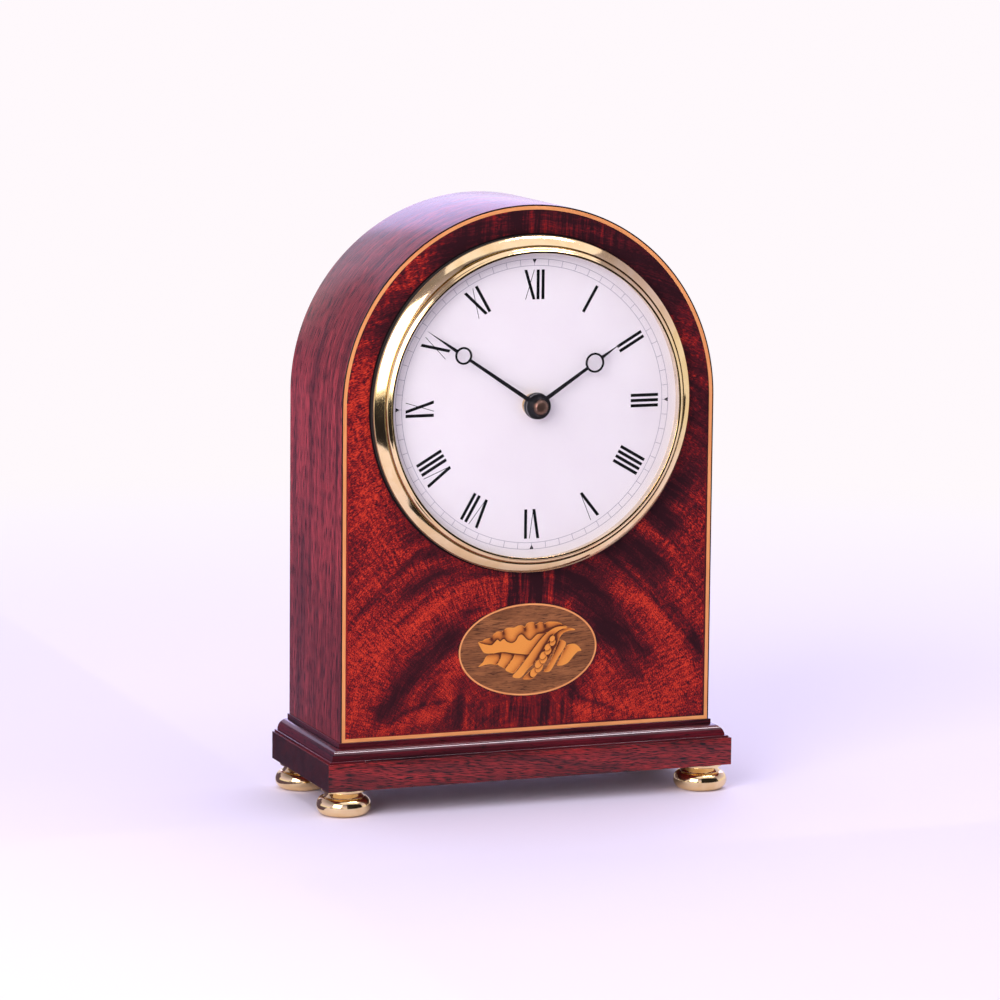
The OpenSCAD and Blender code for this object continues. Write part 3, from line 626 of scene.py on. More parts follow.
class Effects:
    """Shader node groups that several finishes share, each built once."""

    _built: dict[str, bpy.types.NodeTree] = {}

    @classmethod
    def _start(
        cls, name: str, takes: Sequence[tuple[str, str, float]], gives: Sequence[tuple[str, str]]
    ) -> tuple[bpy.types.NodeTree, Wiring, bpy.types.Node]:
        """Begins a group with named inputs and outputs.

        Args:
            name: the group's name.
            takes: inputs as (name, kind, default).
            gives: outputs as (name, kind).

        Returns:
            The group, its wiring, and its Group Input node.
        """
        tree = bpy.data.node_groups.new(name, "ShaderNodeTree")
        kinds = {"value": "NodeSocketFloat", "vector": "NodeSocketVector", "colour": "NodeSocketColor"}
        for label, kind, default in takes:
            socket = tree.interface.new_socket(label, in_out="INPUT", socket_type=kinds[kind])
            if kind == "value":
                socket.default_value = default
        for label, kind in gives:
            tree.interface.new_socket(label, in_out="OUTPUT", socket_type=kinds[kind])
        wires = Wiring(tree)
        cls._built[name] = tree
        return tree, wires, tree.nodes.new("NodeGroupInput")

    @staticmethod
    def _end(wires: Wiring, results: dict[str, bpy.types.NodeSocket]) -> None:
        """Joins results to the group's outputs by name."""
        out = wires.tree.nodes.new("NodeGroupOutput")
        for label, socket in results.items():
            wires.tree.links.new(socket, out.inputs[label])

    @classmethod
    def grain(cls) -> bpy.types.NodeTree:
        """Wood grain along the vector's second part: streaks, pores and a slow drift of tone."""
        if "wood_grain" in cls._built:
            return cls._built["wood_grain"]
        takes = [
            ("Vector", "vector", 0.0), ("Pitch", "value", 1.0), ("Length", "value", 30.0),
            ("Pore pitch", "value", 0.35), ("Pore length", "value", 4.0), ("Pore share", "value", 0.4),
        ]
        tree, w, given = cls._start(
            "wood_grain", takes, [("Streaks", "value"), ("Pores", "value"), ("Drift", "value")]
        )
        x, y, z = w.split(given.outputs["Vector"])
        sway = w.math("MULTIPLY", w.math("SUBTRACT", w.noise(given.outputs["Vector"], 0.02, 2.0), 0.5), 5.0)
        swayed = w.math("ADD", x, sway)

        def stretched(pitch: Value, length: Value) -> bpy.types.NodeSocket:
            """The vector scaled so that one unit is a pitch across and a length along."""
            return w.join(
                w.math("DIVIDE", swayed, pitch), w.math("DIVIDE", y, length), w.math("DIVIDE", z, pitch)
            )

        streaks = w.noise(stretched(given.outputs["Pitch"], given.outputs["Length"]), 1.0, 4.0, 0.6)
        dashes = w.noise(stretched(given.outputs["Pore pitch"], given.outputs["Pore length"]), 1.0, 2.0, 0.5)
        edge = w.math("SUBTRACT", 0.72, w.math("MULTIPLY", given.outputs["Pore share"], 0.3))
        pores = w.math("MULTIPLY", w.math("SUBTRACT", dashes, edge), 9.0, clamp=True)
        drift = w.noise(
            stretched(
                w.math("MULTIPLY", given.outputs["Pitch"], 9.0),
                w.math("MULTIPLY", given.outputs["Length"], 2.0),
            ),
            1.0, 2.0,
        )
        cls._end(
            w,
            {"Streaks": w.between(streaks, 0.3, 0.7), "Pores": pores, "Drift": w.between(drift, 0.35, 0.65)},
        )
        return tree

    @classmethod
    def handling(cls) -> bpy.types.NodeTree:
        """Handling marks: faint smears and fine scratches, as a roughness to add and a height."""
        if "handling" in cls._built:
            return cls._built["handling"]
        takes = [
            ("Vector", "vector", 0.0), ("Smears", "value", 0.05), ("Scratches", "value", 0.05),
            ("Base", "value", 0.2),
        ]
        tree, w, given = cls._start("handling", takes, [("Roughness", "value"), ("Height", "value")])
        at = given.outputs["Vector"]
        smear = w.between(w.noise(at, 0.06, 4.0, 0.6, 0.8), 0.42, 0.68)
        x, y, z = w.split(at)
        fine = w.noise(
            w.join(w.math("MULTIPLY", x, 3.0), w.math("MULTIPLY", y, 3.0), w.math("MULTIPLY", z, 0.25)), 1.0,
            2.0, 0.6, 0.4,
        )
        cross = w.noise(
            w.join(w.math("MULTIPLY", x, 0.3), w.math("MULTIPLY", y, 2.5), w.math("MULTIPLY", z, 3.2)), 1.0,
            2.0, 0.6, 0.4,
        )
        scratch = w.math("MAXIMUM", w.between(fine, 0.66, 0.72), w.between(cross, 0.67, 0.73))
        rough = w.math("MULTIPLY_ADD", smear, given.outputs["Smears"], given.outputs["Base"])
        rough = w.math("MULTIPLY_ADD", scratch, given.outputs["Scratches"], rough, clamp=True)
        cls._end(w, {"Roughness": rough, "Height": scratch})
        return tree

    @classmethod
    def edge_wear(cls) -> bpy.types.NodeTree:
        """Rubbed edges: how far the rounded normal leans from the true one, broken up by noise."""
        if "edge_wear" in cls._built:
            return cls._built["edge_wear"]
        takes = [("Vector", "vector", 0.0), ("Reach", "value", 0.0006), ("Amount", "value", 0.5)]
        tree, w, given = cls._start("edge_wear", takes, [("Mask", "value")])
        soft = w.node("Bevel", {"Radius": given.outputs["Reach"]}, samples=4).outputs[0]
        true = w.node("NewGeometry").outputs["True Normal"]
        lean = w.node("VectorMath", {0: soft, 1: true}, operation="DOT_PRODUCT").outputs["Value"]
        worn = w.between(w.math("SUBTRACT", 1.0, lean), 0.02, 0.28)
        broken = w.between(w.noise(given.outputs["Vector"], 0.5, 4.0, 0.7), 0.35, 0.6)
        cls._end(w, {"Mask": w.math("MULTIPLY", w.math("MULTIPLY", worn, broken), given.outputs["Amount"])})
        return tree


# ---- finishes --------------------------------------------------------------


@dataclass(frozen=True)
class Finish:
    """A finish: its name, and how its shader is wired."""

    name: str
    made: ClassVar[dict[str, bpy.types.Material]] = {}

    def material(self) -> bpy.types.Material:
        """Returns the finish's material, which is built at the first call."""
        if self.name in self.made:
            return self.made[self.name]
        made = bpy.data.materials.new(self.name + "_finish")
        self.made[self.name] = made
        made.use_nodes = True
        wires = Wiring(made.node_tree)
        out = wires.node("OutputMaterial")
        wires.tree.links.new(self.shader(wires), out.inputs["Surface"])
        return made

    def shader(self, w: Wiring) -> bpy.types.NodeSocket:
        """Wires the surface and returns its shader; each finish has its own."""
        raise NotImplementedError(self.name)

    @staticmethod
    def principled(w: Wiring, feeds: dict) -> bpy.types.NodeSocket:
        """A Principled shader with its sockets fed by name."""
        return w.node("BsdfPrincipled", feeds).outputs[0]


@dataclass(frozen=True)
class Grained(Finish):
    """A straight-grained wood under polish."""

    dark: Colour
    light: Colour
    pore: Colour
    runs: Side = Side.UPRIGHT
    pitch: float = 1.2
    length: float = 40.0
    pore_pitch: float = 0.35
    pore_length: float = 5.0
    pore_share: float = 0.4
    slant: float = 0.0
    coat: float = 1.0
    coat_rough: float = 0.12
    rough: float = 0.42
    relief: float = 0.02
    level: float = 0.25
    end_at: float | None = None
    # A paler light tone and the heights where it starts, is full, fades and ends: painted light up the wall
    painted_light_tone: Colour | None = None
    painted_light_heights: tuple[float, float, float, float] = (70.0, 125.0, 155.0, 185.0)

    def shader(self, w: Wiring) -> bpy.types.NodeSocket:
        """Streaks between two tones, dark pores in them, a slow drift of tone, and a dark edge in front of
        `end_at`.

        Where a painted light tone is given, the light streaks take it between the middle two of its four
        heights: painted light, paler higher up the wall.
        """
        at = w.run() if self.runs is Side.ALONG_RUN else w.millimetres()
        x, y, z = w.split(at)
        order = {Side.ALONG_RUN: (y, x, z), Side.ACROSS: (z, x, y), Side.UPRIGHT: (x, z, y)}
        a, b, c = order[self.runs]
        if self.slant:
            a = w.math("MULTIPLY_ADD", b, self.slant, a)
        grain = w.group(
            Effects.grain(),
            {
                "Vector": w.join(a, b, c), "Pitch": self.pitch, "Length": self.length,
                "Pore pitch": self.pore_pitch, "Pore length": self.pore_length, "Pore share": self.pore_share,
            },
        )
        tone = w.math(
            "MULTIPLY_ADD", grain.outputs["Drift"], 0.45, w.math("MULTIPLY", grain.outputs["Streaks"], 0.6),
            clamp=True,
        )
        light: Colour | bpy.types.NodeSocket = self.light
        # Painted light: the light streaks turn paler higher up the wall
        if self.painted_light_tone is not None:
            start, full, fading, end = self.painted_light_heights
            up = w.split(w.millimetres())[2]
            painted_light_band = w.math("MULTIPLY", w.between(up, start, full), w.between(up, end, fading))
            light = w.blend(painted_light_band, self.light, self.painted_light_tone)
        colour = w.blend(tone, self.dark, light)
        colour = w.blend(grain.outputs["Pores"], colour, self.pore)
        if self.runs is Side.ACROSS:
            ends = w.math("ABSOLUTE", w.split(w.node("NewGeometry").outputs["True Normal"])[0])
            colour = w.blend(w.between(ends, 0.6, 0.9, (0.0, 0.8)), colour, self.pore)
        # Darker along the veneer's front edge: partly the veneer's own edge, partly painted shade at the
        # arris
        if self.end_at is not None:
            deep = w.split(w.millimetres())[1]
            colour = w.blend(w.between(deep, self.end_at + 0.35, self.end_at), colour, self.pore)
        handled = w.group(
            Effects.handling(), {"Vector": at, "Smears": 0.05, "Scratches": 0.04, "Base": self.rough}
        )
        height = w.math("SUBTRACT", w.math("MULTIPLY", grain.outputs["Streaks"], 0.3), grain.outputs["Pores"])
        feeds = {
            "Base Color": colour, "Roughness": handled.outputs["Roughness"],
            "Normal": w.bump(height, self.relief), "Coat Weight": self.coat,
            "Coat Roughness": self.coat_rough, "Specular IOR Level": self.level,
        }
        return self.principled(w, feeds)


@dataclass(frozen=True)
class FlameMahogany(Finish):
    """Crotch mahogany: the sheet's own tone under fine lines, cross ripples, pores and a streaked feather."""

    axis: float = 160.7
    # Radii between which the veneer round the bezel darkens, and the colour there: a painted shadow at the
    # bezel's foot
    shade_ring: tuple[float, float] = (68.1, 67.4)
    shade_tone: Colour = (0.006, 0.003, 0.004)
    tones: tuple[tuple[float, Colour], ...] = (
        (0.0, (0.028, 0.006, 0.010)), (0.28, (0.080, 0.008, 0.013)), (0.60, (0.25, 0.010, 0.011)),
        (1.0, (0.60, 0.041, 0.018)),
    )

    def shader(self, w: Wiring) -> bpy.types.NodeSocket:
        """Wires the figure from the sheet's tone, feather and map, where u runs along the curl and v across
        it.
        """
        at = w.millimetres()
        x, _, z = w.split(at)
        along, across, _ = w.split(w.run())
        drift = w.math("MULTIPLY", w.math("SUBTRACT", w.noise(w.join(x, 7.0, z), 0.07, 3.0, 0.55), 0.5), 5.0)
        ring = w.math("ADD", across, drift)
        tone = w.node("Attribute", attribute_name="shade").outputs["Fac"]
        blotch = w.noise(
            w.join(w.math("MULTIPLY", ring, 0.22), w.math("MULTIPLY", along, 0.06)), 1.0, 4.0, 0.62, 0.5
        )
        lines = w.noise(
            w.join(w.math("MULTIPLY", ring, 0.9), w.math("MULTIPLY", along, 0.022), 3.0), 1.0, 3.0, 0.6
        )
        tone = w.math("MULTIPLY_ADD", w.math("SUBTRACT", blotch, 0.5), 0.95, tone)
        tone = w.math("MULTIPLY_ADD", w.math("SUBTRACT", lines, 0.5), 0.75, tone)
        # Fine work: ripples across the curl, flecks, and pores along it
        lively = w.between(tone, 0.0, 0.65, (0.22, 1.0))
        ripple = w.noise(
            w.join(w.math("MULTIPLY", ring, 0.22), w.math("MULTIPLY", along, 0.95), 5.0), 1.0, 3.0, 0.65, 0.4
        )
        fleck = w.noise(
            w.join(w.math("MULTIPLY", ring, 2.6), w.math("MULTIPLY", along, 1.5), 9.0), 1.0, 2.0, 0.6
        )
        pores = w.between(
            w.noise(
                w.join(w.math("MULTIPLY", ring, 2.8), w.math("MULTIPLY", along, 0.24), 2.0), 1.0, 2.0, 0.5
            ),
            0.55, 0.65,
        )
        grainy = w.math(
            "MULTIPLY_ADD", w.math("SUBTRACT", ripple, 0.5), 1.7,
            w.math("MULTIPLY", w.math("SUBTRACT", fleck, 0.5), 2.7),
        )
        tone = w.math("MULTIPLY_ADD", grainy, lively, tone)
        tone = w.math("SUBTRACT", tone, w.math("MULTIPLY", w.math("MULTIPLY", pores, lively), 0.38))
        # The feather's upright barbs
        feather = w.node("Attribute", attribute_name="second").outputs["Fac"]
        barbs = w.noise(
            w.join(w.math("MULTIPLY_ADD", z, -0.05, x), w.math("MULTIPLY", z, 0.07), 11.0), 0.40, 4.0, 0.7,
            0.2,
        )
        barbed = w.math("MULTIPLY", w.math("SUBTRACT", barbs, 0.48), 4.2)
        tone = w.math("MULTIPLY_ADD", barbed, feather, tone, clamp=True)
        # Painted shadow: a thin dark ring on the veneer round the bezel's foot
        ring_up = w.math("SUBTRACT", z, self.axis)
        painted_bezel_shadow = w.between(w.length(w.join(x, ring_up)), *self.shade_ring)
        tone = w.math("MULTIPLY", tone, w.math("SUBTRACT", 1.0, painted_bezel_shadow))
        colour = w.blend(painted_bezel_shadow, w.ramp(tone, self.tones), self.shade_tone)
        handled = w.group(Effects.handling(), {"Vector": at, "Smears": 0.04, "Scratches": 0.02, "Base": 0.38})
        height = w.math("SUBTRACT", w.math("MULTIPLY", tone, 0.3), pores)
        feeds = {
            "Base Color": colour, "Roughness": handled.outputs["Roughness"], "Normal": w.bump(height, 0.008),
            "Coat Weight": 0.8, "Coat Roughness": 0.03, "Specular IOR Level": 0.1,
        }
        return self.principled(w, feeds)


@dataclass(frozen=True)
class SandShaded(Finish):
    """Golden inlay wood, scorched in hot sand along some of its edges."""

    pale: Colour = (0.77, 0.29, 0.050)
    warm: Colour = (0.55, 0.16, 0.026)
    scorched: Colour = (0.10, 0.020, 0.007)

    def shader(self, w: Wiring) -> bpy.types.NodeSocket:
        """Tone from the tile's own shade, with a faint grain."""
        at = w.millimetres()
        x, y, z = w.split(at)
        shade = w.node("Attribute", attribute_name="shade").outputs["Fac"]
        grain = w.noise(
            w.join(w.math("MULTIPLY_ADD", z, 0.5, x), w.math("MULTIPLY", y, 0.2), w.math("MULTIPLY", z, 2.4)),
            1.2, 4.0, 0.6,
        )
        shade = w.math("MULTIPLY_ADD", w.math("SUBTRACT", grain, 0.5), 0.30, shade, clamp=True)
        colour = w.ramp(shade, [(0.0, self.pale), (0.35, self.warm), (0.8, self.scorched)])
        feeds = {
            "Base Color": colour, "Roughness": w.between(grain, 0.2, 0.8, (0.36, 0.46)),
            "Normal": w.bump(grain, 0.006), "Coat Weight": 1.0, "Coat Roughness": 0.04,
            "Specular IOR Level": 0.25,
        }
        return self.principled(w, feeds)


@dataclass(frozen=True)
class Metal(Finish):
    """A polished, turned or brushed metal."""

    colour: Colour
    deep: Colour
    rough: float = 0.09
    smears: float = 0.05
    scratches: float = 0.06
    rubbed: float = 0.0
    turned_at: tuple[float, float] | None = None
    # A depth behind which the metal is painted near black and matt: painted shade at the foot of the bezel's
    # wall
    painted_shade_behind: float | None = None

    def shader(self, w: Wiring) -> bpy.types.NodeSocket:
        """Metal with a slow change of tone, smears, fine scratches and rubbed edges."""
        at = w.millimetres()
        tone = w.between(w.noise(at, 0.11, 3.0, 0.6, 0.3), 0.38, 0.66)
        colour = w.blend(tone, self.colour, self.deep)
        handled = w.group(
            Effects.handling(),
            {"Vector": at, "Smears": self.smears, "Scratches": self.scratches, "Base": self.rough},
        )
        height = handled.outputs["Height"]
        if self.rubbed:
            worn = w.group(Effects.edge_wear(), {"Vector": at, "Reach": 0.0004, "Amount": self.rubbed})
            colour = w.blend(worn.outputs["Mask"], colour, tuple(min(1.0, c * 1.25) for c in self.colour))
        if self.turned_at is not None:
            x, _, z = w.split(at)
            radius = w.length(
                w.join(w.math("SUBTRACT", x, self.turned_at[0]), w.math("SUBTRACT", z, self.turned_at[1]))
            )
            rings = w.math("SINE", w.math("MULTIPLY", radius, 24.0))
            height = w.math("MULTIPLY_ADD", rings, 0.5, height)
        metallic: Value = 1.0
        rough = handled.outputs["Roughness"]
        # Painted shade: behind the given depth the metal turns near black and matt
        if self.painted_shade_behind is not None:
            painted_shade = w.between(w.split(at)[1], self.painted_shade_behind - 0.25, self.painted_shade_behind + 0.25)
            colour = w.blend(painted_shade, colour, (0.012, 0.009, 0.007))
            metallic = w.math("SUBTRACT", 1.0, painted_shade)
            rough = w.math("MAXIMUM", rough, w.math("MULTIPLY", painted_shade, 0.85))
        feeds = {
            "Base Color": colour, "Metallic": metallic, "Roughness": rough, "Normal": w.bump(height, 0.0025)
        }
        return self.principled(w, feeds)


@dataclass(frozen=True)
class Painted(Finish):
    """Paint, enamel, moulded plastic, rubber or printed card."""

    colour: Colour
    second: Colour
    rough: float = 0.4
    smears: float = 0.05
    texture: float = 0.0
    texture_size: float = 2.0
    coat: float = 0.0
    rubbed: float = 0.0
    level: float = 0.5

    def shader(self, w: Wiring) -> bpy.types.NodeSocket:
        """Two close tones, a fine skin texture and lighter rubbed edges."""
        at = w.millimetres()
        colour = w.blend(w.between(w.noise(at, 0.08, 4.0, 0.6), 0.35, 0.65), self.colour, self.second)
        skin = w.noise(at, self.texture_size, 3.0, 0.6)
        if self.rubbed:
            worn = w.group(Effects.edge_wear(), {"Vector": at, "Reach": 0.0005, "Amount": self.rubbed})
            colour = w.blend(
                worn.outputs["Mask"], colour, tuple(min(1.0, c * 2.2 + 0.03) for c in self.colour)
            )
        handled = w.group(
            Effects.handling(), {"Vector": at, "Smears": self.smears, "Scratches": 0.03, "Base": self.rough}
        )
        feeds = {
            "Base Color": colour, "Roughness": handled.outputs["Roughness"],
            "Normal": w.bump(skin, max(self.texture, 0.0005)), "Coat Weight": self.coat,
            "Coat Roughness": 0.05, "Specular IOR Level": self.level,
        }
        return self.principled(w, feeds)


@dataclass(frozen=True)
class WoundWire(Finish):
    """Turns of enamelled wire side by side along X."""

    colour: Colour = (0.55, 0.19, 0.075)
    gauge: float = 0.14

    def shader(self, w: Wiring) -> bpy.types.NodeSocket:
        """Rounded turns as a height, darker in the grooves."""
        at = w.millimetres()
        x, _, _ = w.split(at)
        turns = w.math("ABSOLUTE", w.math("SINE", w.math("MULTIPLY", x, math.pi / self.gauge)))
        uneven = w.noise(at, 1.4, 2.0)
        # Painted shade in the grooves between the turns: the colour darkens there
        colour = w.blend(
            w.math("MULTIPLY", turns, w.between(uneven, 0.2, 0.6)), tuple(0.25 * c for c in self.colour),
            self.colour,
        )
        return self.principled(
            w,
            {
                "Base Color": colour, "Metallic": 0.85,
                "Roughness": w.between(uneven, 0.3, 0.7, (0.22, 0.34)), "Normal": w.bump(turns, 0.03),
            },
        )


@dataclass(frozen=True)
class CellSleeve(Finish):
    """The shrunk sleeve of a dry cell: a plain colour, with a pale band at one end and bare metal at the
    tips.
    """

    half: float = 24.4

    def shader(self, w: Wiring) -> bpy.types.NodeSocket:
        """Bands along the cell's length."""
        at = w.millimetres()
        x, _, _ = w.split(at)
        metal = w.math("GREATER_THAN", w.math("ABSOLUTE", x), self.half)
        band = w.math("MULTIPLY", w.math("GREATER_THAN", x, 12.0), w.math("LESS_THAN", x, 15.0))
        scuff = w.noise(at, 0.7, 4.0, 0.7)
        colour = w.blend(
            band, w.blend(w.between(scuff, 0.4, 0.75), (0.030, 0.060, 0.17), (0.045, 0.085, 0.22)),
            (0.60, 0.62, 0.66),
        )
        colour = w.blend(metal, colour, (0.66, 0.66, 0.68))
        return self.principled(
            w,
            {
                "Base Color": colour, "Metallic": metal,
                "Roughness": w.between(scuff, 0.3, 0.7, (0.24, 0.36)), "Normal": w.bump(scuff, 0.004),
            },
        )


@dataclass(frozen=True)
class ClearGlass(Finish):
    """Clear glass that lets the lamps through to the dial."""

    def shader(self, w: Wiring) -> bpy.types.NodeSocket:
        """Glass to the eye, and open to shadow rays."""
        at = w.millimetres()
        smear = w.between(w.noise(at, 0.05, 4.0, 0.6, 0.8), 0.4, 0.7, (0.0, 0.012))
        glass = self.principled(
            w, {"Base Color": (1.0, 1.0, 1.0), "Transmission Weight": 1.0, "Roughness": smear, "IOR": 1.45}
        )
        clear = w.node("BsdfTransparent", {"Color": (0.97, 0.98, 0.99)}).outputs[0]
        shadow = w.node("LightPath").outputs["Is Shadow Ray"]
        return w.node("MixShader", {0: shadow, 1: glass, 2: clear}).outputs[0]


class Finishes:
    """The clock's finishes, one for each of the record's slots and a few of their kin."""

    flame = FlameMahogany("flame_mahogany")
    # The side veneer's paler tone up the wall is painted light
    side = Grained(
        "side_mahogany", (0.048, 0.008, 0.014), (0.42, 0.045, 0.056), (0.010, 0.004, 0.007), Side.ALONG_RUN,
        pitch=0.55, length=45.0, pore_pitch=0.30, pore_length=7.0, pore_share=0.80, coat=0.8, coat_rough=0.22,
        rough=0.5, level=0.12, painted_light_tone=(0.64, 0.066, 0.084),
    )
    moulding = Grained(
        "moulding_mahogany", (0.012, 0.003, 0.006), (0.12, 0.006, 0.014), (0.006, 0.003, 0.004),
        Side.ALONG_RUN, pitch=0.7, length=35.0, pore_pitch=0.30, pore_length=4.0, pore_share=0.5,
        coat_rough=0.03, rough=0.4, level=0.10,
    )
    base = Grained(
        "base_mahogany", (0.045, 0.005, 0.008), (0.33, 0.018, 0.019), (0.010, 0.003, 0.004), Side.ACROSS,
        pitch=0.8, length=24.0, pore_pitch=0.27, pore_length=4.2, pore_share=0.80, slant=0.10, coat=0.4,
        coat_rough=0.10, rough=0.42, level=0.15,
    )
    door = Grained(
        "door_mahogany", (0.045, 0.010, 0.009), (0.17, 0.036, 0.024), (0.014, 0.004, 0.004), Side.UPRIGHT,
        pitch=1.1, length=60.0, pore_pitch=0.40, pore_length=6.0, pore_share=0.5, coat=0.6, coat_rough=0.2,
        rough=0.5,
    )
    boxwood = Grained(
        "boxwood", (0.66, 0.24, 0.075), (0.84, 0.36, 0.13), (0.45, 0.13, 0.04), Side.ALONG_RUN, pitch=0.35,
        length=12.0, pore_pitch=0.25, pore_length=3.0, pore_share=0.12, coat_rough=0.05, rough=0.4,
        relief=0.004,
    )
    ground = Grained(
        "walnut_ground", (0.15, 0.050, 0.018), (0.34, 0.125, 0.044), (0.060, 0.020, 0.009), Side.ACROSS,
        pitch=0.40, length=10.0, pore_pitch=0.20, pore_length=3.4, pore_share=0.62, coat_rough=0.04,
        rough=0.42, relief=0.008,
    )
    shell = SandShaded("sycamore_shell")
    ply = Grained(
        "birch_ply", (0.50, 0.33, 0.18), (0.66, 0.48, 0.29), (0.33, 0.20, 0.10), Side.UPRIGHT, pitch=2.2,
        length=60.0, pore_pitch=0.6, pore_length=8.0, pore_share=0.3, coat=0.0, rough=0.7, relief=0.04,
    )
    brass = Metal(
        "polished_brass", (0.88, 0.68, 0.37), (0.82, 0.60, 0.29), rough=0.07, smears=0.05, scratches=0.04
    )
    pale_brass = Metal(
        "pale_brass", (0.86, 0.75, 0.62), (0.80, 0.68, 0.54), rough=0.22, smears=0.06, scratches=0.05
    )
    fittings = Metal(
        "fittings_brass", (0.80, 0.58, 0.26), (0.66, 0.43, 0.16), rough=0.16, smears=0.10, scratches=0.10,
        rubbed=0.5,
    )
    steel = Metal(
        "bright_steel", (0.56, 0.57, 0.60), (0.42, 0.43, 0.46), rough=0.22, smears=0.12, scratches=0.12,
        rubbed=0.4,
    )
    enamel = Painted(
        "black_enamel", (0.006, 0.006, 0.008), (0.010, 0.010, 0.012), rough=0.14, smears=0.06, texture=0.002,
        texture_size=1.0, coat=0.6, rubbed=0.0,
    )
    dial = Painted(
        "dial_white", (0.88, 0.825, 0.875), (0.865, 0.805, 0.86), rough=0.42, smears=0.05, texture=0.002,
        texture_size=3.0, coat=0.0, rubbed=0.0, level=0.3,
    )
    ink = Painted(
        "dial_ink", (0.004, 0.004, 0.005), (0.007, 0.007, 0.008), rough=0.45, smears=0.05, texture=0.002,
        texture_size=3.0, coat=0.0, rubbed=0.0, level=0.05,
    )
    faint_ink = Painted(
        "track_ink", (0.30, 0.27, 0.36), (0.36, 0.32, 0.42), rough=0.45, smears=0.05, texture=0.002,
        texture_size=3.0,
    )
    plastic = Painted(
        "black_plastic", (0.022, 0.022, 0.025), (0.030, 0.030, 0.034), rough=0.42, smears=0.10, texture=0.02,
        texture_size=5.0, coat=0.0, rubbed=0.6,
    )
    nylon = Painted(
        "cream_nylon", (0.80, 0.77, 0.68), (0.72, 0.69, 0.60), rough=0.38, smears=0.08, texture=0.006,
        texture_size=3.0, coat=0.0, rubbed=0.0,
    )
    rubber = Painted(
        "washer_rubber", (0.020, 0.020, 0.020), (0.032, 0.031, 0.030), rough=0.75, smears=0.1, texture=0.03,
        texture_size=4.0,
    )
    board = Painted(
        "green_board", (0.015, 0.12, 0.045), (0.025, 0.16, 0.07), rough=0.3, smears=0.08, texture=0.01,
        texture_size=2.0, coat=0.5,
    )
    magnet = Painted(
        "ferrite", (0.035, 0.035, 0.040), (0.055, 0.053, 0.058), rough=0.6, smears=0.1, texture=0.03,
        texture_size=3.0, coat=0.0, rubbed=0.7,
    )
    wire = WoundWire("copper_wire")
    cell = CellSleeve("cell_sleeve")
    glass = ClearGlass("clear_glass")


# ---- the clock -------------------------------------------------------------

OVAL_STEPS = 180


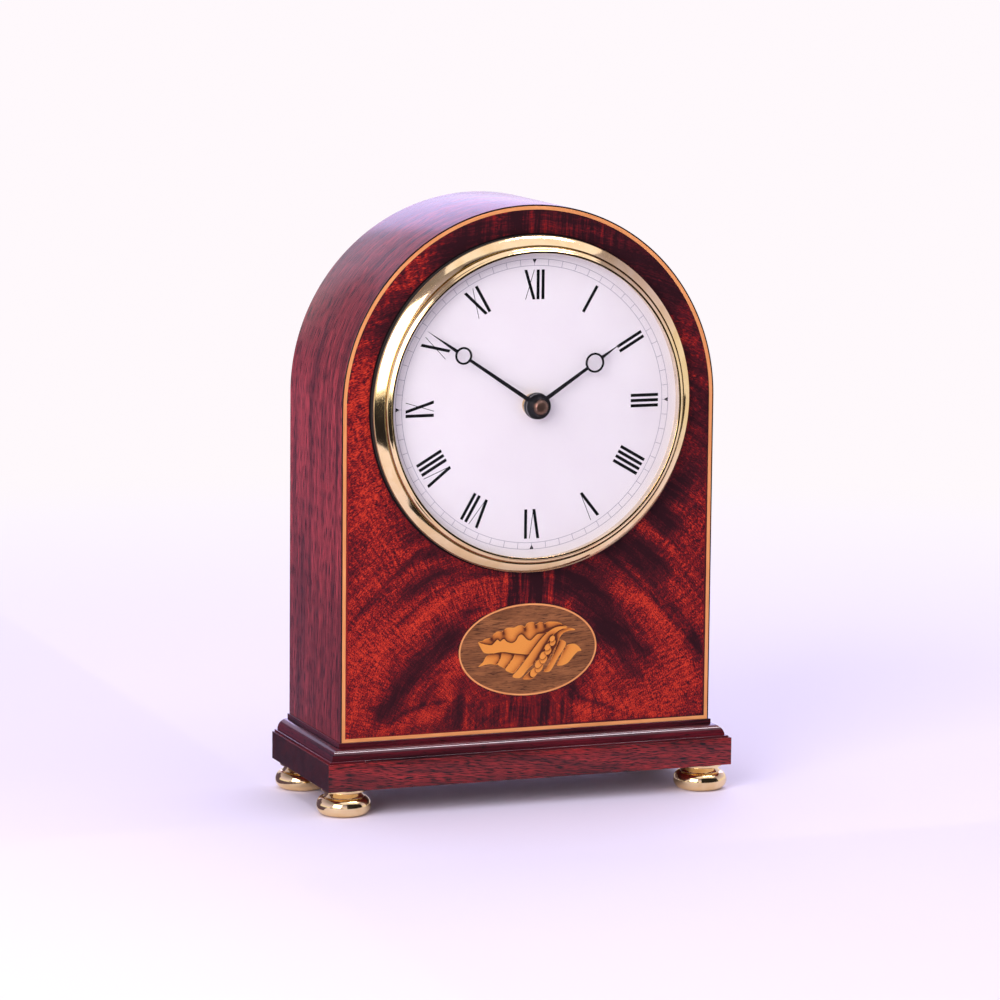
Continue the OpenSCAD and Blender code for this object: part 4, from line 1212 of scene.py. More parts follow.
@dataclass
class Case:
    """The veneered case: side and arch veneer, stringing, and the oval inlay on the front."""

    at: Datum
    skin: float = 0.5
    face: float = 0.6
    string: float = 1.4
    rebate: float = 0.1
    arris: float = 0.28
    oval: tuple[float, float] = (29.5, 18.6)
    oval_up: float = 33.0
    oval_line: float = 0.7
    arc_steps: int = 160

    def outline(self, closed: bool) -> tuple[Array, Array, Array]:
        """The case's outline, up the left, over the arch and down the right.

        Returns:
            Its points, the mitred outward vectors, and the length at each
            point, as (n, 2), (n, 2) and (n + closed,).
        """
        half, spring = self.at.half, self.at.spring
        t = np.linspace(np.pi, 0, self.arc_steps + 1)
        arc = np.stack([np.cos(t), np.sin(t)], -1)
        foot = -(self.skin + self.rebate) if closed else 0.0
        points = np.vstack([[-half, foot], arc * half + [0.0, spring], [half, foot]])
        low = 1.0 if closed else 0.0
        outward = np.vstack([[-1.0, -low], arc, [1.0, -low]])
        return points, outward, lengths(closed_up(points) if closed else points)

    def run(self, surface: Surface, section: Array, plan: tuple[Array, Array, Array], closed: bool) -> None:
        """Carries a section of (inset, depth) along an outline in the plane of the front."""
        points, outward, along = plan
        inset, depth = section[:, :1, None], section[:, 1:, None]
        flat = points[None] - inset * outward[None]
        deep = np.broadcast_to(depth, flat.shape[:2] + (1,))
        grid = self.at.case(np.concatenate([flat[..., :1], deep, flat[..., 1:]], -1))
        surface.grid(grid, around=closed, tube=True, along=along, ends=not closed)

    def build_veneer(self) -> None:
        """Side veneer: a skin over the sides and the arch, with a softened front arris."""
        skin = Surface()
        lap, deep = self.skin + self.rebate, self.at.depth
        corners = [(0, 0), (0, deep), (self.skin, deep), (self.skin, self.face), (lap, self.face), (lap, 0)]
        section = rounded(corners, [self.arris, self.arris, 0.02, 0.02, 0.02, 0.04])
        self.run(skin, section, self.outline(False), False)
        fit(
            skin.build("arch_skin"), replace(Finishes.side, end_at=self.at.front), "case", "side_mahogany",
            "arch_veneer",
        )

    def build_stringing(self) -> None:
        """Stringing: a square-edged line round the front and a fine line round the oval."""
        lines = Surface()
        low = self.skin + self.rebate
        high = low + self.string
        self.run(
            lines, np.array([(low, 0), (high, 0), (high, self.face), (low, self.face)]), self.outline(True),
            True,
        )
        outward = ellipse(1.0, 1.0, OVAL_STEPS)
        points = outward * self.oval + [0.0, self.oval_up]
        w = self.oval_line
        section = np.array([(0, 0), (w, 0), (w, self.face), (0, self.face)])
        self.run(lines, section, (points, outward, lengths(closed_up(points))), True)
        fit(lines.build("boxwood_lines"), Finishes.boxwood, "case", "boxwood", "boxwood_stringing")

    def build_medallion(self) -> None:
        """The oval's ground: rings of the ellipse a cos t, b sin t shrunk to its centre, as thick as the
        veneer.
        """
        t = np.linspace(0, 2 * np.pi, OVAL_STEPS, endpoint=False)
        a, b = self.oval[0] - self.oval_line, self.oval[1] - self.oval_line
        share = np.array([0.0, 0.35, 0.7, 1.0, 1.0, 0.7, 0.35, 0.0])[:, None]
        deep = np.array([0, 0, 0, 0, 1, 1, 1, 1])[:, None] * self.face
        grid = np.stack([share * a * np.cos(t), deep + 0 * t, self.oval_up + share * b * np.sin(t)], -1)
        plate = Surface().grid(self.at.case(grid), around=True)
        fit(plate.build("oval_ground"), Finishes.ground, "case", "walnut_ground", "medallion_ground")

    def dress_rest(self) -> None:
        """Finishes for the boards that keep their solids."""
        dress(Finishes.ply, "arch_carcass", "front_board", "glue_blocks", "bottom_board", "dial_ring")

    def build(self) -> None:
        """Builds the case's pieces in order."""
        self.build_veneer()
        self.build_stringing()
        self.build_medallion()
        edge = self.skin + self.rebate + self.string
        FlameSheet(self.at, edge, self.string, self.oval, self.oval_up, self.face).build()
        ShellInlay(self.at, self.oval_up).build()
        self.dress_rest()


Mark = tuple[float, float, float, tuple[tuple[float, float], ...]]


@dataclass
class FlameSheet:
    """The sheet of crotch mahogany on the front, with its figure laid out in marks about the case's foot."""

    at: Datum
    edge: float
    foot: float
    oval: tuple[float, float]
    oval_up: float
    thick: float
    opening: float = 56.0
    step: float = 0.9
    divide: float = 2.0
    curl: float = 75.0
    plain: float = 0.41
    left_centre: tuple[float, float] = (-5.0, -12.0)
    right_centre: tuple[float, float] = (-18.0, -14.0)
    bright: tuple[Mark, ...] = (
        (0.27, 12.0, 10.0, ((-66, 152), (-70, 130), (-68, 108), (-66, 88))),
        (0.16, 9.0, 8.0, ((-72, 52), (-64, 66), (-54, 74))),
        (0.32, 9.0, 4.0, ((-72, 33), (-54, 44), (-33, 56), (-11, 61))),
        (0.22, 8.0, 6.0, ((-75, 8), (-70, 20))),
        (0.26, 4.0, 3.5, ((-60, 3), (-49, 8), (-38, 10))),
        (0.28, 3.0, 4.0, ((-34, 14), (-35, 23), (-31, 29))),
        (0.34, 4.0, 4.5, ((-25, 44), (-16, 52))),
        (0.34, 3.5, 5.0, ((37, 56), (48, 50), (57, 43), (65, 36))),
        (0.18, 3.5, 3.5, ((46, 84), (58, 72), (70, 54), (75, 41))),
        (0.16, 5.0, 6.0, ((46, 14), (54, 20), (62, 27))),
        (0.32, 9.0, 7.0, ((50, 5), (64, 11), (69, 20))),
        (0.26, 4.0, 4.0, ((32, 26), (32, 15), (40, 6))),
        (0.26, 3.5, 3.0, ((22, 8), (32, 4))),
        (0.10, 5.0, 5.0, ((66, 104), (70, 112))),
        (0.30, 1.6, 1.2, ((17, 50), (19, 53))),
        (0.10, 8.0, 6.0, ((-56, 184), (-50, 188))),
        (0.34, 2.6, 2.6, ((-15, 196), (-14, 208))),
        (0.18, 3.0, 3.0, ((22, 202), (30, 200))),
    )
    dark: tuple[Mark, ...] = (
        (0.34, 4.0, 4.5, ((-62, 10), (-49, 26), (-30, 42), (-22, 50))),
        (0.32, 0.9, 0.9, ((-60, 42), (-46, 54), (-33, 61), (-17, 65))),
        (0.20, 3.0, 3.0, ((-50, 58), (-40, 64), (-34, 66))),
        (0.26, 0.9, 0.9, ((-76, 46), (-66, 57), (-54, 68), (-46, 75))),
        (0.16, 4.0, 4.0, ((-56, 84), (-40, 74))),
        (0.42, 8.0, 8.0, ((7, 60), (22, 58), (31, 50), (36, 40))),
        (0.40, 7.0, 5.0, ((34, 74), (48, 71), (58, 62))),
        (0.22, 1.8, 1.8, ((40, 71), (58, 53), (75, 31))),
        (0.30, 0.8, 0.8, ((34, 71), (55, 50), (76, 27))),
        (0.42, 5.0, 5.0, ((66, 98), (58, 92), (54, 86), (60, 80))),
        (0.26, 3.0, 2.5, ((30, 38), (41, 34), (51, 29))),
        (0.24, 5.0, 5.0, ((39, 28), (48, 22))),
        (0.34, 2.6, 2.6, ((-29, 14), (-31, 4))),
        (0.18, 7.0, 7.0, ((-16, 8), (4, 8), (18, 14))),
        (0.34, 0.9, 0.9, ((-59, 6), (-53, 10), (-45, 13), (-35, 14))),
        (0.30, 0.8, 0.8, ((22, 12), (32, 9), (45, 3))),
        (0.20, 3.0, 3.0, ((72, 34), (74, 20))),
        (0.48, 7.0, 8.0, ((-34, 193), (-18, 201), (2, 206), (16, 204), (40, 192), (60, 174))),
        (0.34, 9.0, 9.0, ((-60, 158), (-52, 168))),
        (0.20, 9.0, 9.0, ((70, 150), (74, 130), (73, 104))),
        (0.28, 9.0, 9.0, ((-6, 60), (2, 68))),
    )

    def tone(self, plan: Array) -> Array:
        """The figure's tone: a plain ground, and each mark's strength times exp(-(d/w)^2) about its line."""
        total = np.full(len(plan), self.plain)
        for sign, marks in ((1, self.bright), (-1, self.dark)):
            for strength, start, end, line in marks:
                points = np.array(line)
                share = np.linspace(0, 1, len(points))
                near = np.argmin(np.linalg.norm(plan[:, None] - points[None], axis=-1), 1)
                width = start + (end - start) * share[near] if start != end else start
                total += sign * strength * np.exp(-((distance(plan, points) / width) ** 2))
        return np.clip(total, 0.0, 1.0)

    def feather(self, plan: Array) -> Array:
        """How far a point is in the streaked middle: above the oval, below it, and at the top of the arch."""
        x, z = plan.T
        above = np.exp(
            -(((x - 1.0) / 13.0) ** 4)
        ) * np.clip((z - 40.0) / 8.0, 0, 1) * np.clip((100.0 - z) / 20.0, 0, 1)
        below = 0.6 * np.exp(-(((x + 2.0) / 34.0) ** 4)) * np.clip((18.0 - z) / 8.0, 0, 1)
        top = 0.55 * np.exp(-(((x - 6.0) / 34.0) ** 4)) * np.clip((z - 185.0) / 10.0, 0, 1)
        return np.clip(above + below + top, 0, 1)

    def build(self) -> None:
        """Triangulates the sheet with its two openings and maps it along the arches."""
        half, spring = self.at.half - self.edge, self.at.spring
        t = np.linspace(0, np.pi, 200)
        arch = np.stack([half * np.cos(t), spring + half * np.sin(t)], -1)
        rim = np.vstack([[-half, self.foot], [half, self.foot], arch])
        hole = ellipse(self.opening, self.opening, OVAL_STEPS) + [0.0, spring]
        oval = ellipse(*self.oval, OVAL_STEPS) + [0.0, self.oval_up]
        plan, faces = filled([rim, hole, oval], self.step)
        centre = np.where(plan[:, :1] < self.divide, self.left_centre, self.right_centre)
        away = plan - centre
        across = np.linalg.norm(away, axis=1)
        along = np.arctan2(away[:, 0], away[:, 1]) * self.curl
        run = np.stack([along, across], -1)
        sheet = Surface()
        sheet.sheet(
            [rim, hole, oval], plan, faces, -self.thick, 0.0, run, self.tone(plan), self.feather(plan)
        )
        sheet.place(lambda p: self.at.case(np.stack([p[:, 0], -p[:, 2], p[:, 1]], -1)))
        fit(
            sheet.build("flame_sheet"), replace(Finishes.flame, axis=self.at.axis), "case", "mahogany",
            "flame_veneer",
        )


@dataclass
class ShellInlay:
    """The conch in the oval: tiles of shaded wood laid into the ground, each a hair over the last."""

    at: Datum
    up: float
    proud: float = 0.015
    lift: float = 0.003
    sunk: float = 0.3
    reach: float = 0.95
    spacing: float = 0.4
    bead_count: int = 9
    bead_foot: tuple[float, float] = (3.2, -9.4)
    bead_rise: tuple[float, float] = (7.6, 13.2)
    bead_sway: tuple[float, float] = (-0.45, 0.75)
    bead_long: tuple[float, float] = (2.1, 0.8)
    bead_short: tuple[float, float] = (1.45, 0.45)
    bead_tilt: float = 0.95
    bead_reach: float = 0.35
    bead_spacing: float = 0.3
    lobe_1: tuple = (
        (-21.1, -5.8), (-19.1, -4.0), (-17.8, -1.9), (-14.6, -0.5), (-10.5, -0.5), (-12.1, -4.0),
        (-13.2, -5.5), (-15.8, -5.0), (-18.2, -5.2),
    )
    lobe_2: tuple = (
        (-10.6, -0.2), (-5.2, -0.6), (-5.6, -2.2), (-7.8, -5.2), (-9.2, -7.1), (-11.1, -6.6), (-13.0, -5.2),
        (-11.9, -3.8),
    )
    lobe_3: tuple = (
        (-4.8, -0.8), (0.9, -1.4), (-1.1, -4.0), (-3.5, -6.5), (-5.8, -9.1), (-8.0, -8.8), (-9.6, -7.5),
        (-7.8, -5.2), (-6.0, -2.8),
    )
    right_1: tuple = (
        (6.8, -9.2), (9.0, -6.5), (11.2, -1.6), (12.8, 2.4), (14.1, 3.1), (16.2, 2.1), (15.8, 0.1),
        (13.1, -3.9), (11.0, -7.5), (9.5, -9.4), (7.8, -9.6),
    )
    right_2: tuple = (
        (12.4, -7.0), (13.8, -4.5), (15.5, -0.6), (17.6, 1.1), (20.6, 0.9), (23.0, -1.6), (21.4, -2.1),
        (19.4, -4.0), (17.5, -6.2), (15.4, -7.2), (13.8, -7.4),
    )
    body: tuple = (
        (-21.3, 4.1), (-19.8, 3.5), (-17.1, 2.8), (-15.4, 2.7), (-14.0, 3.9), (-13.1, 4.7), (-11.9, 3.9),
        (-10.4, 4.8), (-9.0, 3.6),
        (-6.9, 3.0), (-5.2, 3.8), (-4.1, 5.6), (-2.8, 6.2), (-1.6, 5.2), (-0.4, 4.0), (1.1, 3.6), (2.5, 4.7),
        (4.0, 5.9), (6.5, 6.1),
        (9.0, 6.5), (6.5, 3.6), (4.4, 1.2), (2.5, -1.0), (0.2, -2.0), (-3.5, -1.6), (-7.2, -1.0),
        (-11.0, -0.4), (-14.6, -0.7), (-18.5, -0.4), (-20.2, 1.8),
    )
    lip: tuple = (
        (-21.0, 4.0), (-19.4, 4.6), (-18.1, 5.3), (-16.2, 5.6), (-15.6, 5.9), (-14.6, 7.1), (-13.1, 8.0),
        (-11.5, 7.8), (-10.6, 8.2), (-9.4, 9.1),
        (-7.8, 9.3), (-6.0, 9.2), (-4.1, 10.0), (-2.5, 9.8), (-1.5, 9.2), (-0.5, 10.6), (1.4, 11.1),
        (2.9, 10.5), (3.4, 10.0), (4.8, 10.8), (6.2, 10.6),
        (7.0, 10.1), (8.5, 10.8), (11.6, 10.6), (13.5, 10.1), (15.4, 9.0), (16.8, 8.1), (12.8, 7.4),
        (9.0, 6.0), (5.9, 4.9), (2.8, 3.2), (0.9, 2.7),
        (-1.6, 3.2), (-4.8, 3.2), (-6.9, 2.2), (-9.8, 2.8), (-12.2, 3.2), (-15.4, 2.0), (-17.6, 2.5),
    )
    column: tuple = (
        (-6.5, -10.5), (-4.0, -7.9), (-0.4, -3.5), (3.5, 1.5), (7.2, 5.5), (10.8, 7.9), (14.0, 8.6),
        (16.9, 8.2), (13.5, 7.1), (10.8, 5.2),
        (8.2, 1.9), (5.9, -2.0), (3.5, -5.0), (0.2, -7.9), (-2.5, -10.9), (-4.5, -11.4),
    )
    tail: tuple = (
        (7.0, 1.0), (9.4, 4.6), (12.1, 7.4), (15.4, 7.9), (18.8, 7.6), (20.2, 6.8), (17.5, 6.6), (15.1, 5.8),
        (13.5, 3.9), (12.4, 1.2),
        (10.5, -2.0), (7.1, -6.2), (4.0, -9.8), (3.2, -11.2), (1.1, -12.2), (-2.1, -11.8), (0.2, -9.4),
        (2.8, -7.5), (5.2, -3.8),
    )
    scallops: tuple = (
        ((-15.9, 6.1), (-15.6, 5.0)), ((-10.8, 8.4), (-10.5, 7.0)), ((-1.6, 9.5), (-1.3, 8.0)),
        ((3.1, 10.4), (3.4, 8.8)), ((6.8, 10.4), (7.2, 9.0)),
    )

    def beads(self) -> list[tuple[Array, float, float]]:
        """The beads of the column: centres to either side of a line from its foot, radii that fall with the
        height.

        Returns:
            Each bead's centre and its two radii.
        """
        s = np.linspace(0, 1, self.bead_count)
        left, right = self.bead_sway
        x = self.bead_foot[0] + self.bead_rise[0] * s + np.where(np.arange(self.bead_count) % 2, right, left)
        y = self.bead_foot[1] + self.bead_rise[1] * s
        long = self.bead_long[0] - self.bead_long[1] * s
        short = self.bead_short[0] - self.bead_short[1] * s
        return list(zip(np.column_stack([x, y]), long, short))

    def build(self) -> None:
        """Lays the tiles from the lowest to the highest, with the scorched edges of each."""
        inlay = Surface()
        names = ("lobe_1", "lobe_2", "lobe_3", "right_2", "right_1", "lip", "body", "tail", "column")
        rings = {name: smooth_loop(getattr(self, name), 4) for name in names}
        tilt = self.bead_tilt
        turn = np.array([[np.cos(tilt), np.sin(tilt)], [-np.sin(tilt), np.cos(tilt)]])
        for number, (centre, long, short) in enumerate(self.beads()):
            rings[f"bead_{number}"] = centre + ellipse(long, short, 20) @ turn
        own = {"lip": [np.array(line) for line in self.scallops]}
        order = list(rings)
        for rank, name in enumerate(order):
            later = [closed_up(rings[other]) for other in order[rank + 1 :]]
            reach, spacing = self.reach, self.spacing
            if name.startswith("bead"):
                later, reach, spacing = later[:1], self.bead_reach, self.bead_spacing
            top = self.proud + self.lift * rank
            inlay.tile(rings[name], -self.sunk, top, later + own.get(name, []), reach, spacing)
        inlay.place(lambda p: self.at.case(np.stack([p[:, 0], -p[:, 2], p[:, 1] + self.up], -1)))
        fit(inlay.build("shell_tiles"), Finishes.shell, "case", "sycamore_shell", "shell_inlay")


@dataclass
class Base:
    """The base board, its moulding and the four bun feet."""

    at: Datum
    arris: float = 0.7
    sole: float = 7.5
    bun: float = 10.9
    bun_high: float = 7.4
    neck: float = 7.0
    waist: float = 8.2
    flange: float = 9.0
    flange_thick: float = 1.2
    step_high: float = 0.8
    step_nose: float = 1.0
    cove: float = 0.9
    fillet: float = 0.75
    side_room: float = 3.1
    top_room: float = 2.8

    def build_moulding(self) -> None:
        """The moulding: a step, a quarter round and a fillet carried round three sides and mitred in
        front.
        """
        half, front, back = self.at.half, self.at.front, self.at.back
        out = self.at.base_half - half
        high = self.at.bottom - self.at.base_high
        low, cove, nose = self.step_high, self.cove, out - self.step_nose
        quarter = min(out - self.side_room, high - self.top_room)
        a = np.radians(np.linspace(0, 90, 19))
        round_ = np.stack([cove + quarter * np.cos(a), low + quarter * np.sin(a)], -1)
        corners = [(0, 0), (nose, 0), (nose, low), (cove + quarter, low)]
        step = rounded(corners, [0, 0.1, 0.3, 0.1], 3, closed=False)
        corners = [(self.fillet, low + quarter), (self.fillet, high), (0, high)]
        fillet = rounded(corners, [0, 0.25, 0], 3, closed=False)
        section = np.vstack([step, round_[1:], fillet])
        xs, ys = np.linspace(-half, half, 25), np.linspace(back, front, 9)
        left = np.column_stack([np.full(len(ys), -half), ys])
        middle = np.column_stack([xs[1:-1], np.full(len(xs) - 2, front)])
        path = np.vstack([left, middle, left[::-1] * [-1.0, 1.0]])
        sides = ((-1, 0, len(ys) - 1), (-1, -1, 1), (0, -1, len(xs) - 2), (1, -1, 1), (1, 0, len(ys) - 1))
        outward = np.vstack([np.tile([float(x), float(y)], (count, 1)) for x, y, count in sides])
        lifted = np.column_stack([path, np.full(len(path), self.at.base_high)])
        grid = swept(section, lifted, np.column_stack([outward, np.zeros(len(path))]))
        run = Surface().grid(grid, tube=True, along=lengths(path), ends=True)
        fit(
            run.build("moulding_run"), Finishes.moulding, "case", "dark_mahogany", "moulding_front",
            "moulding_sides",
        )

    def foot_profile(self) -> Array:
        """The foot's half section: sole, bun, hollow neck and flange, as (radius, height)."""
        high = self.at.base_low
        a = np.radians(np.linspace(-90, 78, 25))
        bun = np.stack(
            [self.sole + (self.bun - self.sole) * np.cos(a), self.bun_high / 2 * (1 + np.sin(a))], -1
        )
        s = np.linspace(0, 1, 9)
        top = high - self.flange_thick
        waist = self.waist - (self.waist - self.neck) * np.sin(s * np.pi / 2)
        hollow = np.stack([waist, self.bun_high + (top - self.bun_high) * s], -1)
        corners = [(self.neck, top), (self.flange, top), (self.flange, high), (0, high)]
        flange = rounded(corners, [0, 0.35, 0.25, 0], 4, closed=False)
        return np.vstack([[[0.0, 0.0]], bun, hollow, flange[1:]])

    def build_feet(self) -> None:
        """Turns each foot about its own node's middle."""
        profile = self.foot_profile()
        for node in ("foot_front_left", "foot_front_right", "foot_rear_left", "foot_rear_right"):
            low, high = (np.array(corner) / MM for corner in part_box(node))
            middle = np.append((low + high)[:2] / 2, 0.0)
            foot = Surface().grid(turned(profile, 96) + middle, around=True)
            fit(foot.build(node + "_turned", 28.0), Finishes.brass, "case", "brass", node)

    def build(self) -> None:
        """Builds the base's pieces and dresses its screws and studs."""
        fit(
            eased("base_board", "base_plinth", self.arris, 3), Finishes.base, "case", "dark_mahogany",
            "base_board",
        )
        self.build_moulding()
        self.build_feet()
        dress(Finishes.moulding, "sub_base")
        dress(Finishes.fittings, "base_screws")
        dress(Finishes.steel, "foot_studs")


@dataclass
class Bezel:
    """The brass bezel and the domed glass in it. Radii are from the dial's centre, heights over the front."""

    at: Datum
    section: tuple = (
        (64.9, -8.6), (64.9, 0.0), (67.2, 0.0), (67.2, 3.3), (66.3, 4.15), (65.0, 5.15), (63.4, 6.1),
        (63.12, 5.8), (62.9, 6.6),
        (62.4, 7.3), (61.7, 7.7), (61.3, 8.1), (60.5, 8.1), (60.5, 7.5), (61.8, 7.5), (61.8, 2.1),
        (63.6, 2.1), (63.6, -8.6),
    )
    easing: tuple = (
        0.1, 0.05, 0.15, 0.6, 0.7, 0.9, 0.25, 0.12, 0.4, 0.4, 0.3, 0.25, 0.25, 0.1, 0.05, 0.1, 0.1, 0.1
    )
    # How far over the front the bezel's outer wall carries painted shade
    painted_bezel_shadow: float = 3.1
    glass_radius: float = 61.6
    glass_edge: float = 7.2
    glass_top: float = 14.2
    glass_thick: float = 1.6

    def build(self) -> None:
        """Turns the bezel and the glass; the glass follows h = c + sqrt(R^2 - r^2) on both faces."""
        ring = turned(rounded(self.section, self.easing, 5), 288)
        # The bezel's outer wall near the front gets painted shade, near black and matt
        brass = replace(Finishes.brass, name="bezel_brass", painted_shade_behind=self.at.front - self.painted_bezel_shadow)
        fit(
            Surface().grid(self.at.dial(ring), around=True, tube=True).build("bezel_ring", 30.0), brass,
            "case", "brass", "bezel",
        )
        rise = self.glass_top - self.glass_edge
        sphere = (self.glass_radius**2 + rise**2) / (2 * rise)
        centre = self.glass_top - sphere
        r = np.linspace(0, self.glass_radius, 40)
        outer = np.stack([r, centre + np.sqrt(sphere**2 - r**2)], -1)
        inner = np.stack([r[::-1], centre + np.sqrt((sphere - self.glass_thick) ** 2 - r[::-1] ** 2)], -1)
        dome = Surface().grid(self.at.dial(turned(np.vstack([outer, inner]), 144)), around=True)
        fit(dome.build("dome"), Finishes.glass, "case", "glass", "dome_glass")
        dress(Finishes.pale_brass, "glass_ring")
        dress(Finishes.steel, "bezel_clamps", "clamp_screws")


@dataclass
class Dial:
    """The printed dial: twelve Roman figures with their tops outwards, a minute track and four pointers."""

    at: Datum
    face: float = 2.1
    ink: float = 0.03
    inner: float = 41.7
    outer: float = 53.45
    bar: float = 1.25
    hair: float = 0.26
    pitch: float = 2.1
    slope: float = 3.6
    tuck: float = 0.45
    cross: float = 0.25
    tip: float = 0.02
    sunk: float = 0.05
    hoop_over: float = 0.002
    track: tuple[float, float] = (55.1, 57.7)
    line: float = 0.17
    pointer: tuple[float, float] = (1.7, 1.8)
    figures: tuple[str, ...] = ("XII", "I", "II", "III", "IIII", "V", "VI", "VII", "VIII", "IX", "X", "XI")

    def strokes(self, figure: str) -> list[tuple[float, float, float]]:
        """The strokes of one figure as (foot, top, width) across, centred."""
        drawn: list[tuple[float, float, float]] = []
        pen, last, half = 0.0, "", self.slope / 2
        for letter in figure:
            wide = letter in "XV"
            if last:
                pen += self.pitch if not wide and last == "I" else self.pitch - self.tuck
            middle = pen + (half if wide else 0.0)
            if letter == "I":
                drawn.append((middle, middle, self.bar))
            elif letter == "V":
                drawn += [(middle, middle - half, self.bar), (middle + self.cross, middle + half, self.hair)]
            else:
                drawn += [(middle + half, middle - half, self.bar), (middle - half, middle + half, self.hair)]
            pen, last = middle + (half if wide else 0.0), letter
        shift = pen / 2
        return [(foot - shift, top - shift, width) for foot, top, width in drawn]

    def quads(self) -> Array:
        """The feet of all strokes: across t and out r from the centre become t*T + r*R at each hour."""
        out: list[Array] = []
        for hour, figure in enumerate(self.figures):
            foot, top, width = np.array(self.strokes(figure)).T
            across = np.stack([foot - width / 2, foot + width / 2, top + width / 2, top - width / 2], -1)
            away = np.broadcast_to([self.inner, self.inner, self.outer, self.outer], across.shape)
            out.append(self._at_hour(across, away, hour * math.pi / 6))
        side, deep = self.pointer
        across = np.array([[-side / 2, side / 2, self.tip, -self.tip]])
        away = self.track[1] - np.array([[0.0, 0.0, deep, deep]])
        out += [self._at_hour(across, away, quarter * math.pi / 2) for quarter in range(4)]
        return np.concatenate(out)

    @staticmethod
    def _at_hour(across: Array, away: Array, angle: Array | float) -> Array:
        """Turns (across, away) clockwise to an angle from twelve."""
        c, s = np.cos(angle), np.sin(angle)
        return np.stack([across * c + away * s, away * c - across * s], -1)

    def build(self) -> None:
        """Prints the figures and the track as a thin coat of ink, with the track's hoops a hair over its
        lines.
        """
        low, high = self.face - self.sunk, self.face + self.ink
        figures = Surface().prisms(self.quads(), low, high)
        figures.place(self.at.dial)
        fit(figures.build("dial_figures"), Finishes.ink, "case", "dial_white")
        minutes = np.arange(60)[:, None] * np.pi / 30
        t = self.line / 2
        across = np.broadcast_to([-t, t, t, -t], (60, 4))
        away = np.broadcast_to(np.repeat(self.track, 2), (60, 4))
        track = Surface().prisms(self._at_hour(across, away, minutes), low, high)
        track.place(self.at.dial)
        for radius in self.track:
            top = high + self.hoop_over
            hoop = np.array([(radius - t, low), (radius + t, low), (radius + t, top), (radius - t, top)])
            track.grid(self.at.dial(turned(hoop, 240)), around=True, tube=True)
        fit(track.build("minute_track"), Finishes.faint_ink, "case", "dial_white")
        dress(Finishes.dial, "dial_plate")


@dataclass
class Hand:
    """A slim hand with an open ring near its pointed tip, on a turned boss; its node and its body share a
    name.
    """

    node: str
    angle: float
    height: float
    dip: float
    ring: float
    ring_radius: float
    tip: float
    boss: tuple[tuple[float, float], ...]
    wall: float = 0.85
    thick: float = 0.5
    edge: float = 0.12
    stem: tuple[float, float] = (1.8, 1.25)
    point: tuple[float, float] = (1.45, 0.06)
    overlap: tuple[float, float] = (0.4, 0.5)
    boss_edge: float = 0.22

    def bar(self, start: float, end: float, wide: float, narrow: float) -> Array:
        """A tapered bar: a rounded section whose width runs from wide to narrow along the hand."""
        s = np.linspace(0, 1, 8)[None, :]
        width = wide + (narrow - wide) * s
        unit = rounded([(-0.5, 0), (0.5, 0), (0.5, self.thick), (-0.5, self.thick)], self.edge, 3)
        x, z = unit[:, :1] * width, unit[:, 1:] + 0 * width
        return np.stack([x, start + (end - start) * s + 0 * x, z], -1)

    def build(self, at: Datum) -> None:
        """Builds blade and boss, dips the blade, turns both to the hour and sets them on the dial."""
        blade = Surface()
        stem_end = self.ring - self.ring_radius + self.overlap[0]
        point_start = self.ring + self.ring_radius - self.overlap[1]
        blade.grid(self.bar(0, stem_end, *self.stem), tube=True, ends=True)
        blade.grid(self.bar(point_start, self.tip, *self.point), tube=True, ends=True)
        r0, r1 = self.ring_radius - self.wall, self.ring_radius
        hoop = rounded([(r0, 0), (r1, 0), (r1, self.thick), (r0, self.thick)], self.edge, 3)
        blade.grid(turned(hoop, 72) + [0, self.ring, 0], around=True, tube=True)
        fall = math.radians(-self.dip)
        lean = np.array(
            [[1, 0, 0], [0, math.cos(fall), math.sin(fall)], [0, -math.sin(fall), math.cos(fall)]]
        )
        blade.place(lambda p: p @ lean + [0, 0, self.height])
        blade.grid(turned(rounded(self.boss, self.boss_edge, 4), 72), around=True, tube=True)
        turn = math.radians(self.angle)
        spin = np.array(
            [[math.cos(turn), -math.sin(turn), 0], [math.sin(turn), math.cos(turn), 0], [0, 0, 1]]
        )
        blade.place(lambda p: at.dial(p @ spin))
        fit(blade.build(self.node + "_blade"), Finishes.enamel, self.node, "black_enamel", self.node)


@dataclass
class Hands:
    """Both hands and the nut that holds them."""

    at: Datum
    hour_boss: tuple = ((2.5, 5.3), (5.3, 5.3), (5.3, 6.6), (2.5, 6.6))
    minute_boss: tuple = ((1.0, 7.2), (5.1, 7.2), (5.1, 8.5), (3.6, 8.5), (3.6, 10.2), (1.0, 10.2))
    nut: tuple = (
        (0.0, 10.3), (2.95, 10.2), (2.95, 10.9), (2.35, 10.95), (2.15, 11.2), (0.5, 11.4), (0.0, 11.4)
    )

    def build(self) -> None:
        """Builds the hands, then turns the nut as a low cone."""
        hour = Hand(
            "hour_hand", 57.0, height=5.7, dip=1.5, ring=29.65, ring_radius=4.0, tip=41.8, boss=self.hour_boss
        )
        minute = Hand(
            "minute_hand", 304.0, height=7.7, dip=2.5, ring=37.4, ring_radius=3.5, tip=55.2,
            boss=self.minute_boss,
        )
        hour.build(self.at)
        minute.build(self.at)
        copper = Metal(
            "turned_copper", (0.80, 0.50, 0.38), (0.68, 0.38, 0.27), rough=0.2, smears=0.05, scratches=0.1,
            turned_at=(0.0, self.at.axis),
        )
        profile = rounded(self.nut, 0.1, 3, closed=False)
        nut = Surface().grid(self.at.dial(turned(profile, 48)), around=True)
        fit(nut.build("nut_cap", 30.0), copper, "minute_hand", "copper", "hand_nut")


